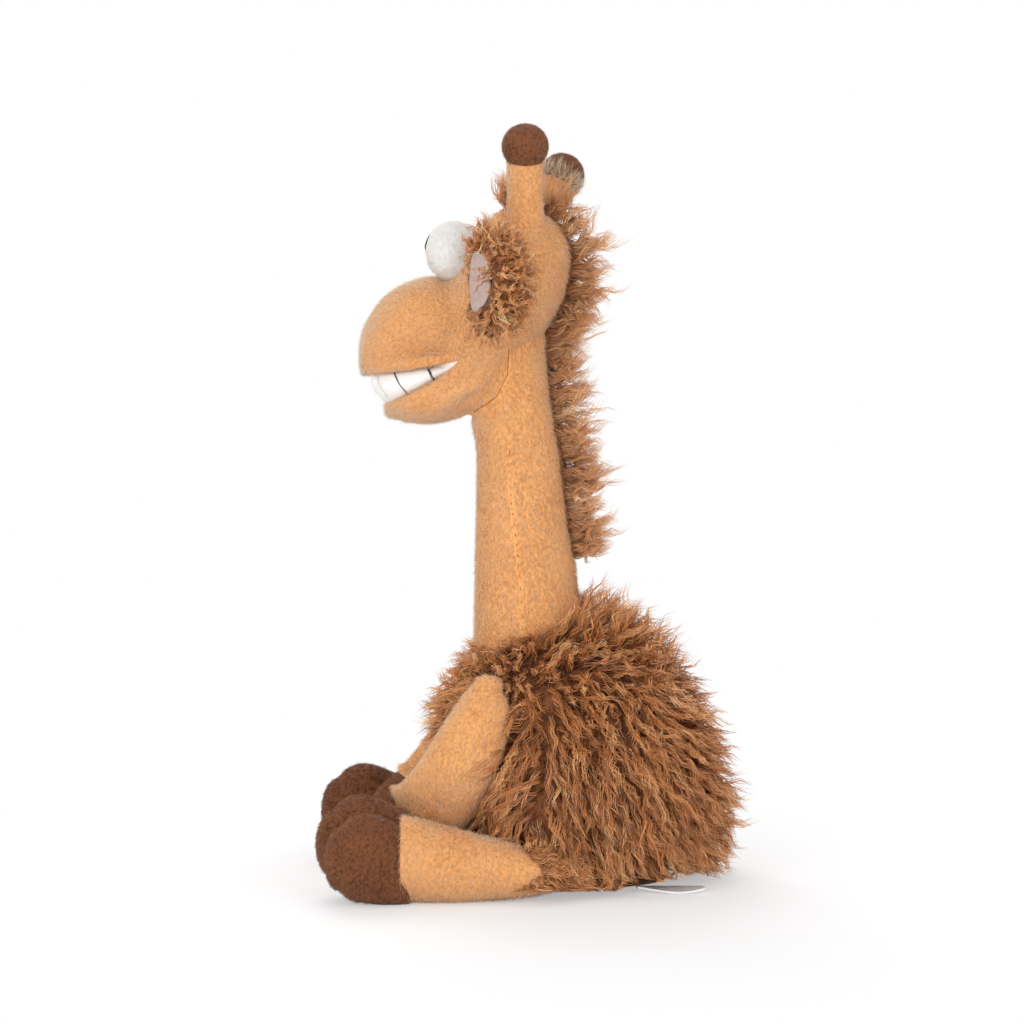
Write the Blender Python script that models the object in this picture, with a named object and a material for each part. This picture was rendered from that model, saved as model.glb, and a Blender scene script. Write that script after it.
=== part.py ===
"""A sitting plush giraffe, 400 mm tall, as the stuffed forms and trims that it is sewn from.

Metres, +Z up. The giraffe faces -Y and its own left side is +X. The origin is the middle of the
flat seat, on the surface that it sits on. Arms, legs and ears are sewn on along a short seam, so
each hangs on a small root that turns in a pocket of the body or the head.
"""

import math

import bmesh
import bpy
import numpy as np
from mathutils import Matrix, Vector

# Fits
SEAM_GAP = 0.0003
POCKET_GAP = 0.0006
LIMB_GAP = 0.0015
OVERRUN = 0.004

# Body: a shaggy cover, open below, with its stuffing, a bag of pellets and a base panel
BODY_DEPTH = 0.160
BODY_HEIGHT = 0.150
BODY_WIDTH = 0.142
BODY_TOP_DOME = 0.006
FUR_WALL = 0.014
FUR_TUFT_DEPTH = 0.005
FUR_TUFT_ROWS = (3, 17)
PANEL_THICKNESS = 0.003
BEAN_HEIGHT = 0.026
TAB_WIDTH = 0.037
TAB_LENGTH = 0.014
TAB_THICKNESS = 0.0008

# Neck and head
NECK_LENGTH = 0.116
NECK_DEPTH = 0.055
NECK_WIDTH = 0.056
HEAD_DEPTH = 0.080
HEAD_HEIGHT = 0.108
HEAD_WIDTH = 0.081
MUZZLE_LENGTH = 0.052
MUZZLE_HEIGHT = 0.050
MUZZLE_WIDTH = 0.070
JAW_LENGTH = 0.040
JAW_HEIGHT = 0.026
JAW_WIDTH = 0.057
EYE_RADIUS = 0.015
PUPIL_RADIUS = 0.0045
PUPIL_THICKNESS = 0.0024
PUPIL_RISE = math.radians(21.0)
PUPIL_TURN = math.radians(10.0)

# Horns, each a tan tube with a brown ball
HORN_LENGTH = 0.050
HORN_RADIUS = 0.0095
HORN_BALL_RADIUS = 0.01245
HORN_SPREAD = math.radians(24.0)
HORN_SWEEP = {"left": 0.0, "right": math.radians(27.0)}

# Ears, each a padded leaf that is hollowed in front for its lining
EAR_LENGTH = 0.052
EAR_HEIGHT = 0.048
EAR_THICKNESS = 0.025
EAR_SWEEP = math.radians(14.0)
EAR_ROOT_RADIUS = 0.006
CUP_LENGTH = 0.040
CUP_HEIGHT = 0.034
CUP_DEPTH = 0.008
LINING_THICKNESS = 0.0015

# Mane, a strip of tufts from the forehead to the foot of the neck
MANE_REACH = 0.023
MANE_WIDTH = 0.014
MANE_ROOT = 0.003
TUFTS = 20
TUFT_STEPS = 3
TUFT_DEPTH = 0.008
MANE_DROOP = 0.002
MANE_TIP = 0.004
MANE_EASE = 4

# Limbs
ARM_LENGTH = 0.130
ARM_WIDTH = 0.028
SHOULDER_RADIUS = 0.008
LEG_LENGTH = 0.080
LEG_HEIGHT = 0.044
LEG_WIDTH = 0.043
HIP_RADIUS = 0.008
HOOF_LENGTH = 0.044
HOOF_HEIGHT = 0.0535
TOE_WIDTH = 0.030
TOE_SPREAD = 0.009
INNER_TOE_LIFT = 0.004
ROOT_INSET = 0.002
RIGHT_LEG_FORWARD = 0.006

# How far each sewn-on piece swings from rest, in degrees
ARM_SWING = (0.0, 100.0)
LEG_SWING = (-85.0, 0.0)
EAR_SWING = (-20.0, 30.0)
SWING_STEPS = 5

# How finely the forms are drawn
BODY_SIDES = 18
LIMB_SIDES = 12
STEPS = 2
DOME_STEPS = 3

# Outlines. A row is a ring: Y and Z of its front or upper edge, Y and Z of its rear or lower edge,
# and its half width, as shares of the depth or length, the height and half the width.
BODY_SHARES = [
    (-0.375, 0.000, 0.350, 0.000, 0.68),
    (-0.438, 0.027, 0.400, 0.027, 0.79),
    (-0.494, 0.080, 0.444, 0.080, 0.89),
    (-0.531, 0.160, 0.475, 0.160, 0.94),
    (-0.562, 0.280, 0.475, 0.280, 0.99),
    (-0.575, 0.420, 0.453, 0.413, 1.00),
    (-0.562, 0.560, 0.419, 0.560, 0.97),
    (-0.519, 0.673, 0.356, 0.687, 0.89),
    (-0.469, 0.767, 0.275, 0.807, 0.78),
    (-0.419, 0.840, 0.175, 0.913, 0.61),
    (-0.384, 0.880, -0.031, 1.020, 0.39),
]
COLLAR_SHARES = (-0.212, 0.947)
NECK_SHARES = [
    (-0.491, -0.172, 0.545, 0.009, 1.00),
    (-0.500, -0.069, 0.491, 0.112, 0.96),
    (-0.491, 0.198, 0.455, 0.259, 0.91),
    (-0.482, 0.414, 0.391, 0.440, 0.88),
    (-0.473, 0.716, 0.318, 0.733, 0.84),
    (-0.520, 0.922, 0.245, 0.931, 0.82),
    (-0.473, 1.086, 0.200, 1.147, 0.75),
    (-0.436, 1.216, 0.190, 1.267, 0.68),
]
NECK_END_SHARES = ((0.05, -0.16), (-0.12, 1.36))
NECK_MANE_ROWS = slice(2, 6)
HEAD_SEAT_SHARES = (-0.291, 0.931)
HEAD_SHARES = [
    (-0.350, 0.037, 0.037, 0.056, 0.49),
    (-0.425, 0.111, 0.087, 0.130, 0.67),
    (-0.475, 0.231, 0.125, 0.250, 0.79),
    (-0.500, 0.370, 0.312, 0.380, 0.91),
    (-0.450, 0.509, 0.438, 0.537, 0.99),
    (-0.338, 0.648, 0.487, 0.694, 1.00),
    (-0.225, 0.778, 0.475, 0.806, 0.94),
    (-0.125, 0.880, 0.406, 0.907, 0.77),
    (-0.025, 0.944, 0.300, 0.977, 0.49),
]
HEAD_END_SHARES = ((-0.150, 0.010), (0.125, 1.000))
HEAD_NAPE_ROW = 3
MUZZLE_SEAT_SHARES = (-0.250, 0.204)
MUZZLE_SHARES = [
    (0.346, 0.800, 0.346, 0.200, 0.80),
    (0.000, 0.940, 0.019, 0.040, 0.94),
    (-0.308, 0.980, -0.327, -0.010, 1.00),
    (-0.596, 0.880, -0.615, -0.050, 0.97),
    (-0.788, 0.730, -0.808, -0.070, 0.86),
    (-0.913, 0.540, -0.952, -0.050, 0.66),
]
MUZZLE_END_SHARES = ((0.480, 0.500), (-1.006, 0.180))
JAW_SEAT_SHARES = (-0.250, 0.074)
JAW_SHARES = [
    (0.200, 0.538, 0.200, -0.308, 0.77),
    (-0.150, 0.404, -0.150, -0.481, 0.95),
    (-0.425, 0.192, -0.425, -0.538, 1.00),
    (-0.675, 0.031, -0.650, -0.500, 0.88),
    (-0.850, -0.046, -0.825, -0.431, 0.63),
]
JAW_END_SHARES = ((0.400, 0.100), (-0.990, -0.210))
# The band of teeth takes its sizes from the muzzle above it, so that it fills the grin
TEETH_SHARES = [
    (-0.120, 0.120, -0.140, -0.180, 0.78),
    (-0.365, 0.100, -0.404, -0.300, 0.89),
    (-0.596, 0.080, -0.615, -0.380, 0.84),
    (-0.760, 0.040, -0.750, -0.360, 0.71),
    (-0.856, 0.000, -0.837, -0.270, 0.51),
]
TEETH_END_SHARES = ((0.000, -0.020), (-0.905, -0.110))
EYE_SHARES = {"left": (0.395, -0.288, 0.778), "right": (-0.395, -0.238, 0.796)}
EYE_FORM_SHARES = (1.0, 0.955, 1.04)
HORN_SEAT_SHARES = (0.470, 0.188, 0.843)
EAR_SEAT_SHARES = (-0.100, 0.602)
# An ear's rows run along its length: upper edge, lower edge and half its thickness
EAR_SHARES = [
    (-0.120, 0.38, 0.48),
    (0.115, 0.62, 0.72),
    (0.346, 0.92, 0.96),
    (0.577, 1.00, 1.00),
    (0.770, 0.84, 0.84),
]
EAR_END_SHARES = (-0.180, 1.000)
CUP_SEAT_SHARES = (0.520, 0.50)
SHOULDER_SHARES = (-0.325, 0.720)
# An arm's row starts with the place across, measured outwards from the shoulder
ARM_SHARES = [
    (0.020, -0.069, 0.012, 0.038, -0.015, 0.54),
    (0.045, -0.119, -0.046, 0.065, -0.092, 0.75),
    (0.078, -0.200, -0.162, 0.046, -0.238, 0.89),
    (0.070, -0.281, -0.292, -0.012, -0.385, 0.96),
    (-0.020, -0.369, -0.408, -0.077, -0.519, 1.02),
    (-0.125, -0.431, -0.492, -0.154, -0.623, 0.97),
]
ARM_END_SHARES = ((0.015, 0.0, 0.04), (-0.140, -0.330, -0.600))
HAND_SHARES = [
    (-0.118, -0.408, -0.489, -0.162, -0.605, 0.84),
    (-0.160, -0.470, -0.535, -0.205, -0.675, 0.96),
    (-0.180, -0.510, -0.590, -0.275, -0.730, 0.93),
    (-0.185, -0.530, -0.650, -0.360, -0.755, 0.74),
]
HAND_END_SHARES = ((-0.110, -0.270, -0.530), (-0.185, -0.490, -0.745))
HIP_SHARES = (-0.112, 0.080)
# A leg's row: place across, place forward, upper edge, lower edge and half width
LEG_SHARES = [
    (0.035, 0.000, 0.43, 0.12, 0.46),
    (0.052, -0.175, 0.57, 0.06, 0.70),
    (0.060, -0.400, 0.705, 0.02, 0.84),
    (0.062, -0.650, 0.818, -0.018, 0.91),
    (0.063, -0.875, 0.932, -0.018, 0.98),
    (0.065, -0.994, 0.989, -0.018, 1.00),
]
LEG_END_SHARES = ((0.025, 0.100, 0.28), (0.065, -1.015, 0.48))
ANKLE_SHARE = -0.994
TOE_SHARES = [
    (0.70, 0.090, 0.800, -0.015, 0.88),
    (0.90, -0.193, 0.923, -0.015, 0.97),
    (1.00, -0.466, 0.990, -0.015, 1.00),
    (1.05, -0.750, 0.942, -0.010, 0.94),
    (1.05, -0.920, 0.769, 0.096, 0.68),
]
TOE_END_SHARES = ((0.60, 0.160, 0.40), (1.05, -1.000, 0.385))
OUTER_TOE_SHARE = 0.87
TAB_SEAT_SHARES = (0.66, 0.255)
BEAN_SHARES = [
    (0.70, 0.00),
    (0.86, 0.22),
    (0.86, 0.62),
    (0.66, 0.90),
]

SIDES = {"left": 1.0, "right": -1.0}


def linear(red, green, blue):
    """A colour given in display values of 0 to 255, as Blender's linear values."""
    return tuple((value / 255) ** 2.2 for value in (red, green, blue)) + (1.0,)


def cloth(name, colour, roughness):
    """A fabric's material."""
    material = bpy.data.materials.new(name)
    material.use_nodes = True
    shader = material.node_tree.nodes["Principled BSDF"]
    shader.inputs["Base Color"].default_value = linear(*colour)
    shader.inputs["Roughness"].default_value = roughness
    shader.inputs["Metallic"].default_value = 0.0
    return material


def add(name, mesh, matrix=None, side=1.0):
    """Makes an object of a bmesh, placed by matrix and mirrored to the right where side is -1."""
    if matrix is not None:
        bmesh.ops.transform(mesh, matrix=matrix, verts=mesh.verts)
    if side < 0.0:
        bmesh.ops.scale(mesh, vec=(side, 1.0, 1.0), verts=mesh.verts)
    bmesh.ops.recalc_face_normals(mesh, faces=mesh.faces)
    data = bpy.data.meshes.new(name)
    mesh.to_mesh(data)
    mesh.free()
    data.shade_smooth()
    piece = bpy.data.objects.new(name, data)
    bpy.context.scene.collection.objects.link(piece)
    return piece


def set_origin(piece, point):
    """Puts a piece's origin on its joint, and leaves its shape where it is."""
    piece.data.transform(Matrix.Translation(-Vector(point)))
    piece.location = point


def combine(piece, tool, operation="DIFFERENCE", solver="EXACT"):
    """Cuts or joins a piece with a tool, which is then only a guide."""
    modifier = piece.modifiers.new(tool.name, "BOOLEAN")
    modifier.operation = operation
    modifier.solver = solver
    modifier.object = tool
    tool.hide_render = True
    tool.display_type = "WIRE"


def eased(rows, steps):
    """Rows of numbers joined by a Catmull-Rom curve, with steps to each span."""
    rows = np.array(rows, dtype=float)
    ends = np.vstack([2 * rows[0] - rows[1], rows, 2 * rows[-1] - rows[-2]])
    out = []
    for before, here, there, after in zip(ends, ends[1:], ends[2:], ends[3:]):
        for t in np.arange(steps) / steps:
            bend = 2 * before - 5 * here + 4 * there - after
            twist = 3 * here - before - 3 * there + after
            out.append((2 * here + (there - before) * t + bend * t**2 + twist * t**3) / 2)
    out.append(rows[-1])
    return np.array(out)


def placed(shares, seat, depth, height, width, across=0.0):
    """Rings in metres from rows of shares, about a seat.

    A ring is its place across, Y and Z of its first edge, Y and Z of its other edge, and its half width.
    """
    rings = []
    for y1, z1, y2, z2, half in shares:
        first = (seat[1] + y1 * depth, seat[2] + z1 * height)
        other = (seat[1] + y2 * depth, seat[2] + z2 * height)
        rings.append((across, *first, *other, half * width / 2))
    return rings


def tips(seat, shares, depth, height):
    """Places in the middle plane, from shares of a depth and a height about a seat."""
    return [(0.0, seat[1] + y * depth, seat[2] + z * height) for y, z in shares]


def domed(ring, tip):
    """Rings that close a form from its end ring to a rounded tip, along a quarter of an ellipse."""
    x, y1, z1, y2, z2, half = ring
    middle = np.array([x, (y1 + y2) / 2, (z1 + z2) / 2])
    chord = np.array([0.0, (y1 - y2) / 2, (z1 - z2) / 2])
    rings = []
    for turn in np.arange(1, DOME_STEPS) / DOME_STEPS * math.pi / 2:
        centre = middle + (np.array(tip) - middle) * math.sin(turn)
        edge = chord * math.cos(turn)
        rings.append((centre[0], *(centre + edge)[1:], *(centre - edge)[1:], half * math.cos(turn)))
    return rings


def tufted(ring, row):
    """A ring with a point halfway along each side, and every second point drawn in to its middle.

    The drawn points change places from row to row, so that the others stand out as tufts of fur, and
    form splits each face between its drawn points.
    """
    middle = sum(ring, Vector()) / len(ring)
    points = [place for i, point in enumerate(ring) for place in (ring[i - 1].lerp(point, 0.5), point)]
    first, last = FUR_TUFT_ROWS
    for i, point in enumerate(points):
        if first <= row < last and (i + row) % 2:
            points[i] = point + (middle - point).normalized() * FUR_TUFT_DEPTH
    return points


def form(rows, start, end, sides=LIMB_SIDES, steps=STEPS, grow=0.0, skirt=0.0, tufts=False):
    """A stuffed form: elliptical rings, eased from row to row, closed by a rounded tip at each end.

    Where start is None the form is flat there, and skirt carries the flat end down. grow makes
    the whole form larger all round, for the tool that clears it. tufts gives it tufts of fur.
    """
    rings = [tuple(ring) for ring in eased(rows, steps)]
    if start is None:
        x, y1, z1, y2, z2, half = rings[0]
        rings = ([(x, y1, z1 - skirt, y2, z2 - skirt, half)] if skirt else []) + rings
    else:
        rings = domed(rings[0], start)[::-1] + rings
    rings += domed(rings[-1], end)
    turns = np.linspace(0.0, 2 * math.pi, sides, endpoint=False)
    mesh = bmesh.new()
    loops = []
    for x, y1, z1, y2, z2, half in rings:
        middle = Vector((x, (y1 + y2) / 2, (z1 + z2) / 2))
        chord = Vector((0.0, (y1 - y2) / 2, (z1 - z2) / 2))
        across = Vector((half, 0.0, 0.0))
        ring = [middle + chord * math.cos(a) + across * math.sin(a) for a in turns]
        ring = tufted(ring, len(loops)) if tufts else ring
        loops.append([mesh.verts.new(point) for point in ring])
    for row, (low, high) in enumerate(zip(loops, loops[1:])):
        for i in range(len(low)):
            corners = (low[i], low[i - 1], high[i - 1], high[i])
            if not tufts:
                mesh.faces.new(corners)
            elif (i + row) % 2:
                mesh.faces.new(corners[:3])
                mesh.faces.new((corners[0], *corners[2:]))
            else:
                mesh.faces.new((*corners[:2], corners[3]))
                mesh.faces.new(corners[1:])
    for loop, tip in ((loops[0], start), (loops[-1], end)):
        if tip is None:
            mesh.faces.new(loop)
            continue
        pole = mesh.verts.new(tip)
        for i in range(len(loop)):
            mesh.faces.new((loop[i - 1], loop[i], pole))
    bmesh.ops.recalc_face_normals(mesh, faces=mesh.faces)
    mesh.normal_update()
    moves = [vert.normal * grow for vert in mesh.verts]
    for vert, move in zip(mesh.verts, moves):
        vert.co += move
    return mesh


def ball(centre, radius, scale=(1.0, 1.0, 1.0), sides=LIMB_SIDES):
    """A sphere, which scale can flatten."""
    mesh = bmesh.new()
    bmesh.ops.create_uvsphere(mesh, u_segments=sides, v_segments=sides * 5 // 8, radius=radius)
    bmesh.ops.scale(mesh, vec=scale, verts=mesh.verts)
    bmesh.ops.translate(mesh, vec=centre, verts=mesh.verts)
    return mesh


def flank(rows, y, z):
    """How far a form's side lies from its middle plane at a place y, z: the ellipse of its ring there."""
    rings = eased(rows, STEPS)
    heights = (rings[:, 2] + rings[:, 4]) / 2
    front = np.interp(z, heights, rings[:, 1])
    rear = np.interp(z, heights, rings[:, 3])
    half = np.interp(z, heights, rings[:, 5])
    offset = (2 * y - front - rear) / (rear - front)
    return half * math.sqrt(1.0 - offset**2)


def swung_tool(name, mesh, pivot, axis, angle):
    """A tool turned about a pivot, to clear a limb in one of its poses."""
    bmesh.ops.translate(mesh, vec=-Vector(pivot), verts=mesh.verts)
    turn = Matrix.Translation(pivot) @ Matrix.Rotation(math.radians(angle), 4, axis)
    return add(name, mesh, turn)


def clear_swing(piece, make_tool, pivot, axis, swing):
    """Cuts a sewn-on piece back by what carries it, at steps through its whole swing.

    The cuts nearly coincide about the pivot, where the EXACT solver loses the piece.
    """
    for step in range(SWING_STEPS + 1):
        angle = swing[0] + (swing[1] - swing[0]) * step / SWING_STEPS
        tool = swung_tool(f"{piece.name}_clear_{step}", make_tool(), pivot, axis, -angle)
        combine(piece, tool, solver="MANIFOLD")


for old in list(bpy.data.objects):
    bpy.data.objects.remove(old)

tan_plush = cloth("tan_plush", (224, 164, 107), 0.9)
brown_plush = cloth("brown_plush", (118, 76, 52), 0.9)
shaggy_fur = cloth("shaggy_fur", (142, 92, 58), 0.85)
mane_fur = cloth("mane_fur", (176, 122, 82), 0.85)
white_felt = cloth("white_felt", (238, 234, 229), 0.9)
black_felt = cloth("black_felt", (22, 22, 24), 0.8)
white_plush = cloth("white_plush", (240, 236, 230), 0.9)
lining_plush = cloth("lining_plush", (182, 158, 150), 0.9)
stuffing_fibre = cloth("stuffing_fibre", (244, 244, 240), 1.0)
pellet_cloth = cloth("pellet_cloth", (225, 220, 205), 0.95)
white_ribbon = cloth("white_ribbon", (242, 242, 242), 0.6)

# Body
ORIGIN = (0.0, 0.0, 0.0)
body_rows = placed(BODY_SHARES, ORIGIN, BODY_DEPTH, BODY_HEIGHT, BODY_WIDTH)
collar = (0.0, COLLAR_SHARES[0] * BODY_DEPTH, COLLAR_SHARES[1] * BODY_HEIGHT)
body_tip = (0.0, collar[1], collar[2] + BODY_TOP_DOME)
panel_top = PANEL_THICKNESS + SEAM_GAP


def body_form(grow=0.0, skirt=0.0, steps=STEPS, tufts=False):
    """The body's outside, open to the seat, larger or smaller by grow, and smooth or in tufts."""
    return form(body_rows, None, body_tip, BODY_SIDES, steps, grow, skirt, tufts)


def body_tool():
    return body_form(LIMB_GAP, LIMB_GAP)


body_cover = add("body_cover", body_form(tufts=True))
body_cover.data.materials.append(shaggy_fur)
combine(body_cover, add("body_hollow", body_form(-FUR_WALL, 2 * FUR_WALL, 1)))


def block(name, low, high):
    """A block between two heights, wider than the body."""
    mesh = bmesh.new()
    bmesh.ops.create_cube(mesh, size=1.0)
    bmesh.ops.scale(mesh, vec=(2 * BODY_WIDTH, 3 * BODY_DEPTH, high - low), verts=mesh.verts)
    bmesh.ops.translate(mesh, vec=(0.0, 0.0, (low + high) / 2), verts=mesh.verts)
    return add(name, mesh)


base_panel = add("base_panel", body_form(-FUR_WALL - SEAM_GAP, 2 * FUR_WALL, 1))
base_panel.data.materials.append(shaggy_fur)
combine(base_panel, block("panel_thickness", 0.0, PANEL_THICKNESS), "INTERSECT")


def bean_form(gap):
    """The bag of pellets: a low pillow on the base panel, in the cover's hollow."""
    base = body_rows[0]
    middle = (base[1] + base[3]) / 2
    rings = []
    for share, rise in BEAN_SHARES:
        reach = ((base[3] - base[1]) / 2 - FUR_WALL) * share
        z = panel_top + rise * BEAN_HEIGHT
        rings.append((0.0, middle - reach, z, middle + reach, z, (base[5] - FUR_WALL) * share))
    return form(rings, None, (0.0, middle, panel_top + BEAN_HEIGHT), grow=gap, skirt=gap)


bean_bag = add("bean_bag", bean_form(0.0))
bean_bag.data.materials.append(pellet_cloth)

body_stuffing = add("body_stuffing", body_form(-FUR_WALL - SEAM_GAP, 2 * FUR_WALL, 1))
body_stuffing.data.materials.append(stuffing_fibre)
combine(body_stuffing, block("stuffing_floor", -BODY_HEIGHT, panel_top))
combine(body_stuffing, add("bean_room", bean_form(SEAM_GAP)))

# Neck and head
neck_rows = placed(NECK_SHARES, collar, NECK_DEPTH, NECK_LENGTH, NECK_WIDTH)
neck_ends = tips(collar, NECK_END_SHARES, NECK_DEPTH, NECK_LENGTH)
head_seat, = tips(collar, [HEAD_SEAT_SHARES], NECK_DEPTH, NECK_LENGTH)
head_rows = placed(HEAD_SHARES, head_seat, HEAD_DEPTH, HEAD_HEIGHT, HEAD_WIDTH)


head_ends = tips(head_seat, HEAD_END_SHARES, HEAD_DEPTH, HEAD_HEIGHT)


def on_head(y, z):
    """A place in the head's middle plane, from shares of its depth and height."""
    return tips(head_seat, [(y, z)], HEAD_DEPTH, HEAD_HEIGHT)[0]


def neck_form(grow=0.0):
    return form(neck_rows, *neck_ends, grow=grow)


def head_form(grow=0.0):
    return form(head_rows, *head_ends, BODY_SIDES, grow=grow)


def head_tool():
    return head_form(LIMB_GAP)


neck = add("neck", neck_form())
neck.data.materials.append(tan_plush)
combine(neck, add("neck_on_body", body_form(SEAM_GAP)))
combine(neck, add("neck_in_head", head_form(SEAM_GAP)))

head = add("head", head_form())
head.data.materials.append(tan_plush)

# Muzzle, jaw and teeth: each is cut back by the larger forms about it
muzzle_seat = on_head(*MUZZLE_SEAT_SHARES)
jaw_seat = on_head(*JAW_SEAT_SHARES)
muzzle_rows = placed(MUZZLE_SHARES, muzzle_seat, MUZZLE_LENGTH, MUZZLE_HEIGHT, MUZZLE_WIDTH)
jaw_rows = placed(JAW_SHARES, jaw_seat, JAW_LENGTH, JAW_HEIGHT, JAW_WIDTH)
teeth_rows = placed(TEETH_SHARES, muzzle_seat, MUZZLE_LENGTH, MUZZLE_HEIGHT, MUZZLE_WIDTH)
muzzle_ends = tips(muzzle_seat, MUZZLE_END_SHARES, MUZZLE_LENGTH, MUZZLE_HEIGHT)
jaw_ends = tips(jaw_seat, JAW_END_SHARES, JAW_LENGTH, JAW_HEIGHT)
teeth_ends = tips(muzzle_seat, TEETH_END_SHARES, MUZZLE_LENGTH, MUZZLE_HEIGHT)


def muzzle_form(grow=0.0):
    return form(muzzle_rows, *muzzle_ends, grow=grow)


def jaw_form(grow=0.0):
    return form(jaw_rows, *jaw_ends, grow=grow)


muzzle = add("muzzle", muzzle_form())
muzzle.data.materials.append(tan_plush)
combine(muzzle, add("muzzle_on_head", head_form(SEAM_GAP)))

lower_jaw = add("lower_jaw", jaw_form())
lower_jaw.data.materials.append(tan_plush)
combine(lower_jaw, add("jaw_on_head", head_form(SEAM_GAP)))
combine(lower_jaw, add("jaw_on_neck", neck_form(SEAM_GAP)))
combine(lower_jaw, add("jaw_under_muzzle", muzzle_form(SEAM_GAP)))

teeth = add("teeth", form(teeth_rows, *teeth_ends))
teeth.data.materials.append(white_plush)
combine(teeth, add("teeth_on_head", head_form(SEAM_GAP)))
combine(teeth, add("teeth_on_neck", neck_form(SEAM_GAP)))
combine(teeth, add("teeth_under_muzzle", muzzle_form(SEAM_GAP)))
combine(teeth, add("teeth_over_jaw", jaw_form(SEAM_GAP)))

# Mane
crown = head_rows[HEAD_NAPE_ROW:][::-1]
nape = neck_rows[NECK_MANE_ROWS][::-1]
forehead = (np.array(crown[0][1:3]) + np.array(head_ends[1][1:])) / 2
spine = [forehead, head_ends[1][1:]] + [row[3:5] for row in crown + nape]
spine = eased(spine, STEPS * TUFT_STEPS)
travel = np.concatenate([[0.0], np.cumsum(np.hypot(*np.diff(spine, axis=0).T))])
stops = np.linspace(0.0, travel[-1], TUFTS * TUFT_STEPS + 1)
spine = np.column_stack([np.interp(stops, travel, run) for run in spine.T])
slopes = np.pad(np.gradient(spine, axis=0), ((MANE_EASE, MANE_EASE), (0, 0)), "edge")
window = np.ones(2 * MANE_EASE + 1)
along = np.column_stack([np.convolve(run, window, "valid") for run in slopes.T])
along /= np.hypot(*along.T)[:, None]
outward = np.column_stack([-along[:, 1], along[:, 0]])
notch = (np.arange(len(stops)) % TUFT_STEPS) / (TUFT_STEPS - 1)
reach = MANE_REACH - TUFT_DEPTH / 2 + TUFT_DEPTH * notch
inner = spine - outward * MANE_ROOT
outer = spine + outward * reach[:, None] + along * notch[:, None] * MANE_DROOP
mane_rows = [(0.0, *low, *high, MANE_WIDTH / 2) for low, high in zip(inner, outer)]
mane_ends = []
for place, heading in ((0, -1.0), (-1, 1.0)):
    mane_ends.append((0.0, *((inner[place] + outer[place]) / 2 + along[place] * heading * MANE_TIP)))
mane = add("mane", form(mane_rows, *mane_ends, LIMB_SIDES // 2, steps=1))
mane.data.materials.append(mane_fur)
combine(mane, add("mane_on_head", head_form(SEAM_GAP)))
combine(mane, add("mane_on_neck", neck_form(SEAM_GAP)))
combine(mane, add("mane_on_body", body_form(SEAM_GAP)))

# Eyes and horns, left and right
for name, side in SIDES.items():
    x, y, z = EYE_SHARES[name]
    eye = Vector(on_head(y, z)) + Vector((x * HEAD_WIDTH / 2, 0.0, 0.0))
    eyeball = add(f"{name}_eyeball", ball(eye, EYE_RADIUS, EYE_FORM_SHARES, BODY_SIDES))
    eyeball.data.materials.append(white_felt)
    combine(eyeball, add(f"{name}_eye_on_head", head_form(SEAM_GAP)))
    combine(eyeball, add(f"{name}_eye_on_muzzle", muzzle_form(SEAM_GAP)))

    gaze = Vector((-side * math.sin(PUPIL_TURN), -math.cos(PUPIL_TURN), math.tan(PUPIL_RISE)))
    gaze.normalize()
    surface = Vector([g * EYE_RADIUS * share for g, share in zip(gaze, EYE_FORM_SHARES)])
    turn = Matrix.Translation(eye + surface) @ gaze.to_track_quat("Z", "Y").to_matrix().to_4x4()
    flat = (1.0, 1.0, PUPIL_THICKNESS / (2 * PUPIL_RADIUS))
    pupil = add(f"{name}_pupil", ball((0.0, 0.0, 0.0), PUPIL_RADIUS, flat), turn)
    pupil.data.materials.append(black_felt)
    grown = EYE_RADIUS + SEAM_GAP
    combine(pupil, add(f"{name}_pupil_seat", ball(eye, grown, EYE_FORM_SHARES, BODY_SIDES)))

    x, y, z = HORN_SEAT_SHARES
    root = Vector(on_head(y, z)) + Vector((side * x * HEAD_WIDTH / 2, 0.0, 0.0))
    lean = Vector((side * math.sin(HORN_SPREAD), math.tan(HORN_SWEEP[name]), math.cos(HORN_SPREAD)))
    lean.normalize()
    top = root + lean * HORN_LENGTH
    horn_rows = []
    for x, y, z in (root, (root + top) / 2, top):
        horn_rows.append((x, y - HORN_RADIUS, z, y + HORN_RADIUS, z, HORN_RADIUS))
    horn_ends = (root - lean * HORN_RADIUS, top + lean * HORN_RADIUS)
    horn = add(f"{name}_horn", form(horn_rows, *horn_ends))
    horn.data.materials.append(tan_plush)
    combine(horn, add(f"{name}_horn_on_head", head_form(SEAM_GAP)))
    combine(horn, add(f"{name}_horn_in_ball", ball(top, HORN_BALL_RADIUS + SEAM_GAP)))
    horn_ball = add(f"{name}_horn_ball", ball(top, HORN_BALL_RADIUS))
    horn_ball.data.materials.append(brown_plush)

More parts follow.
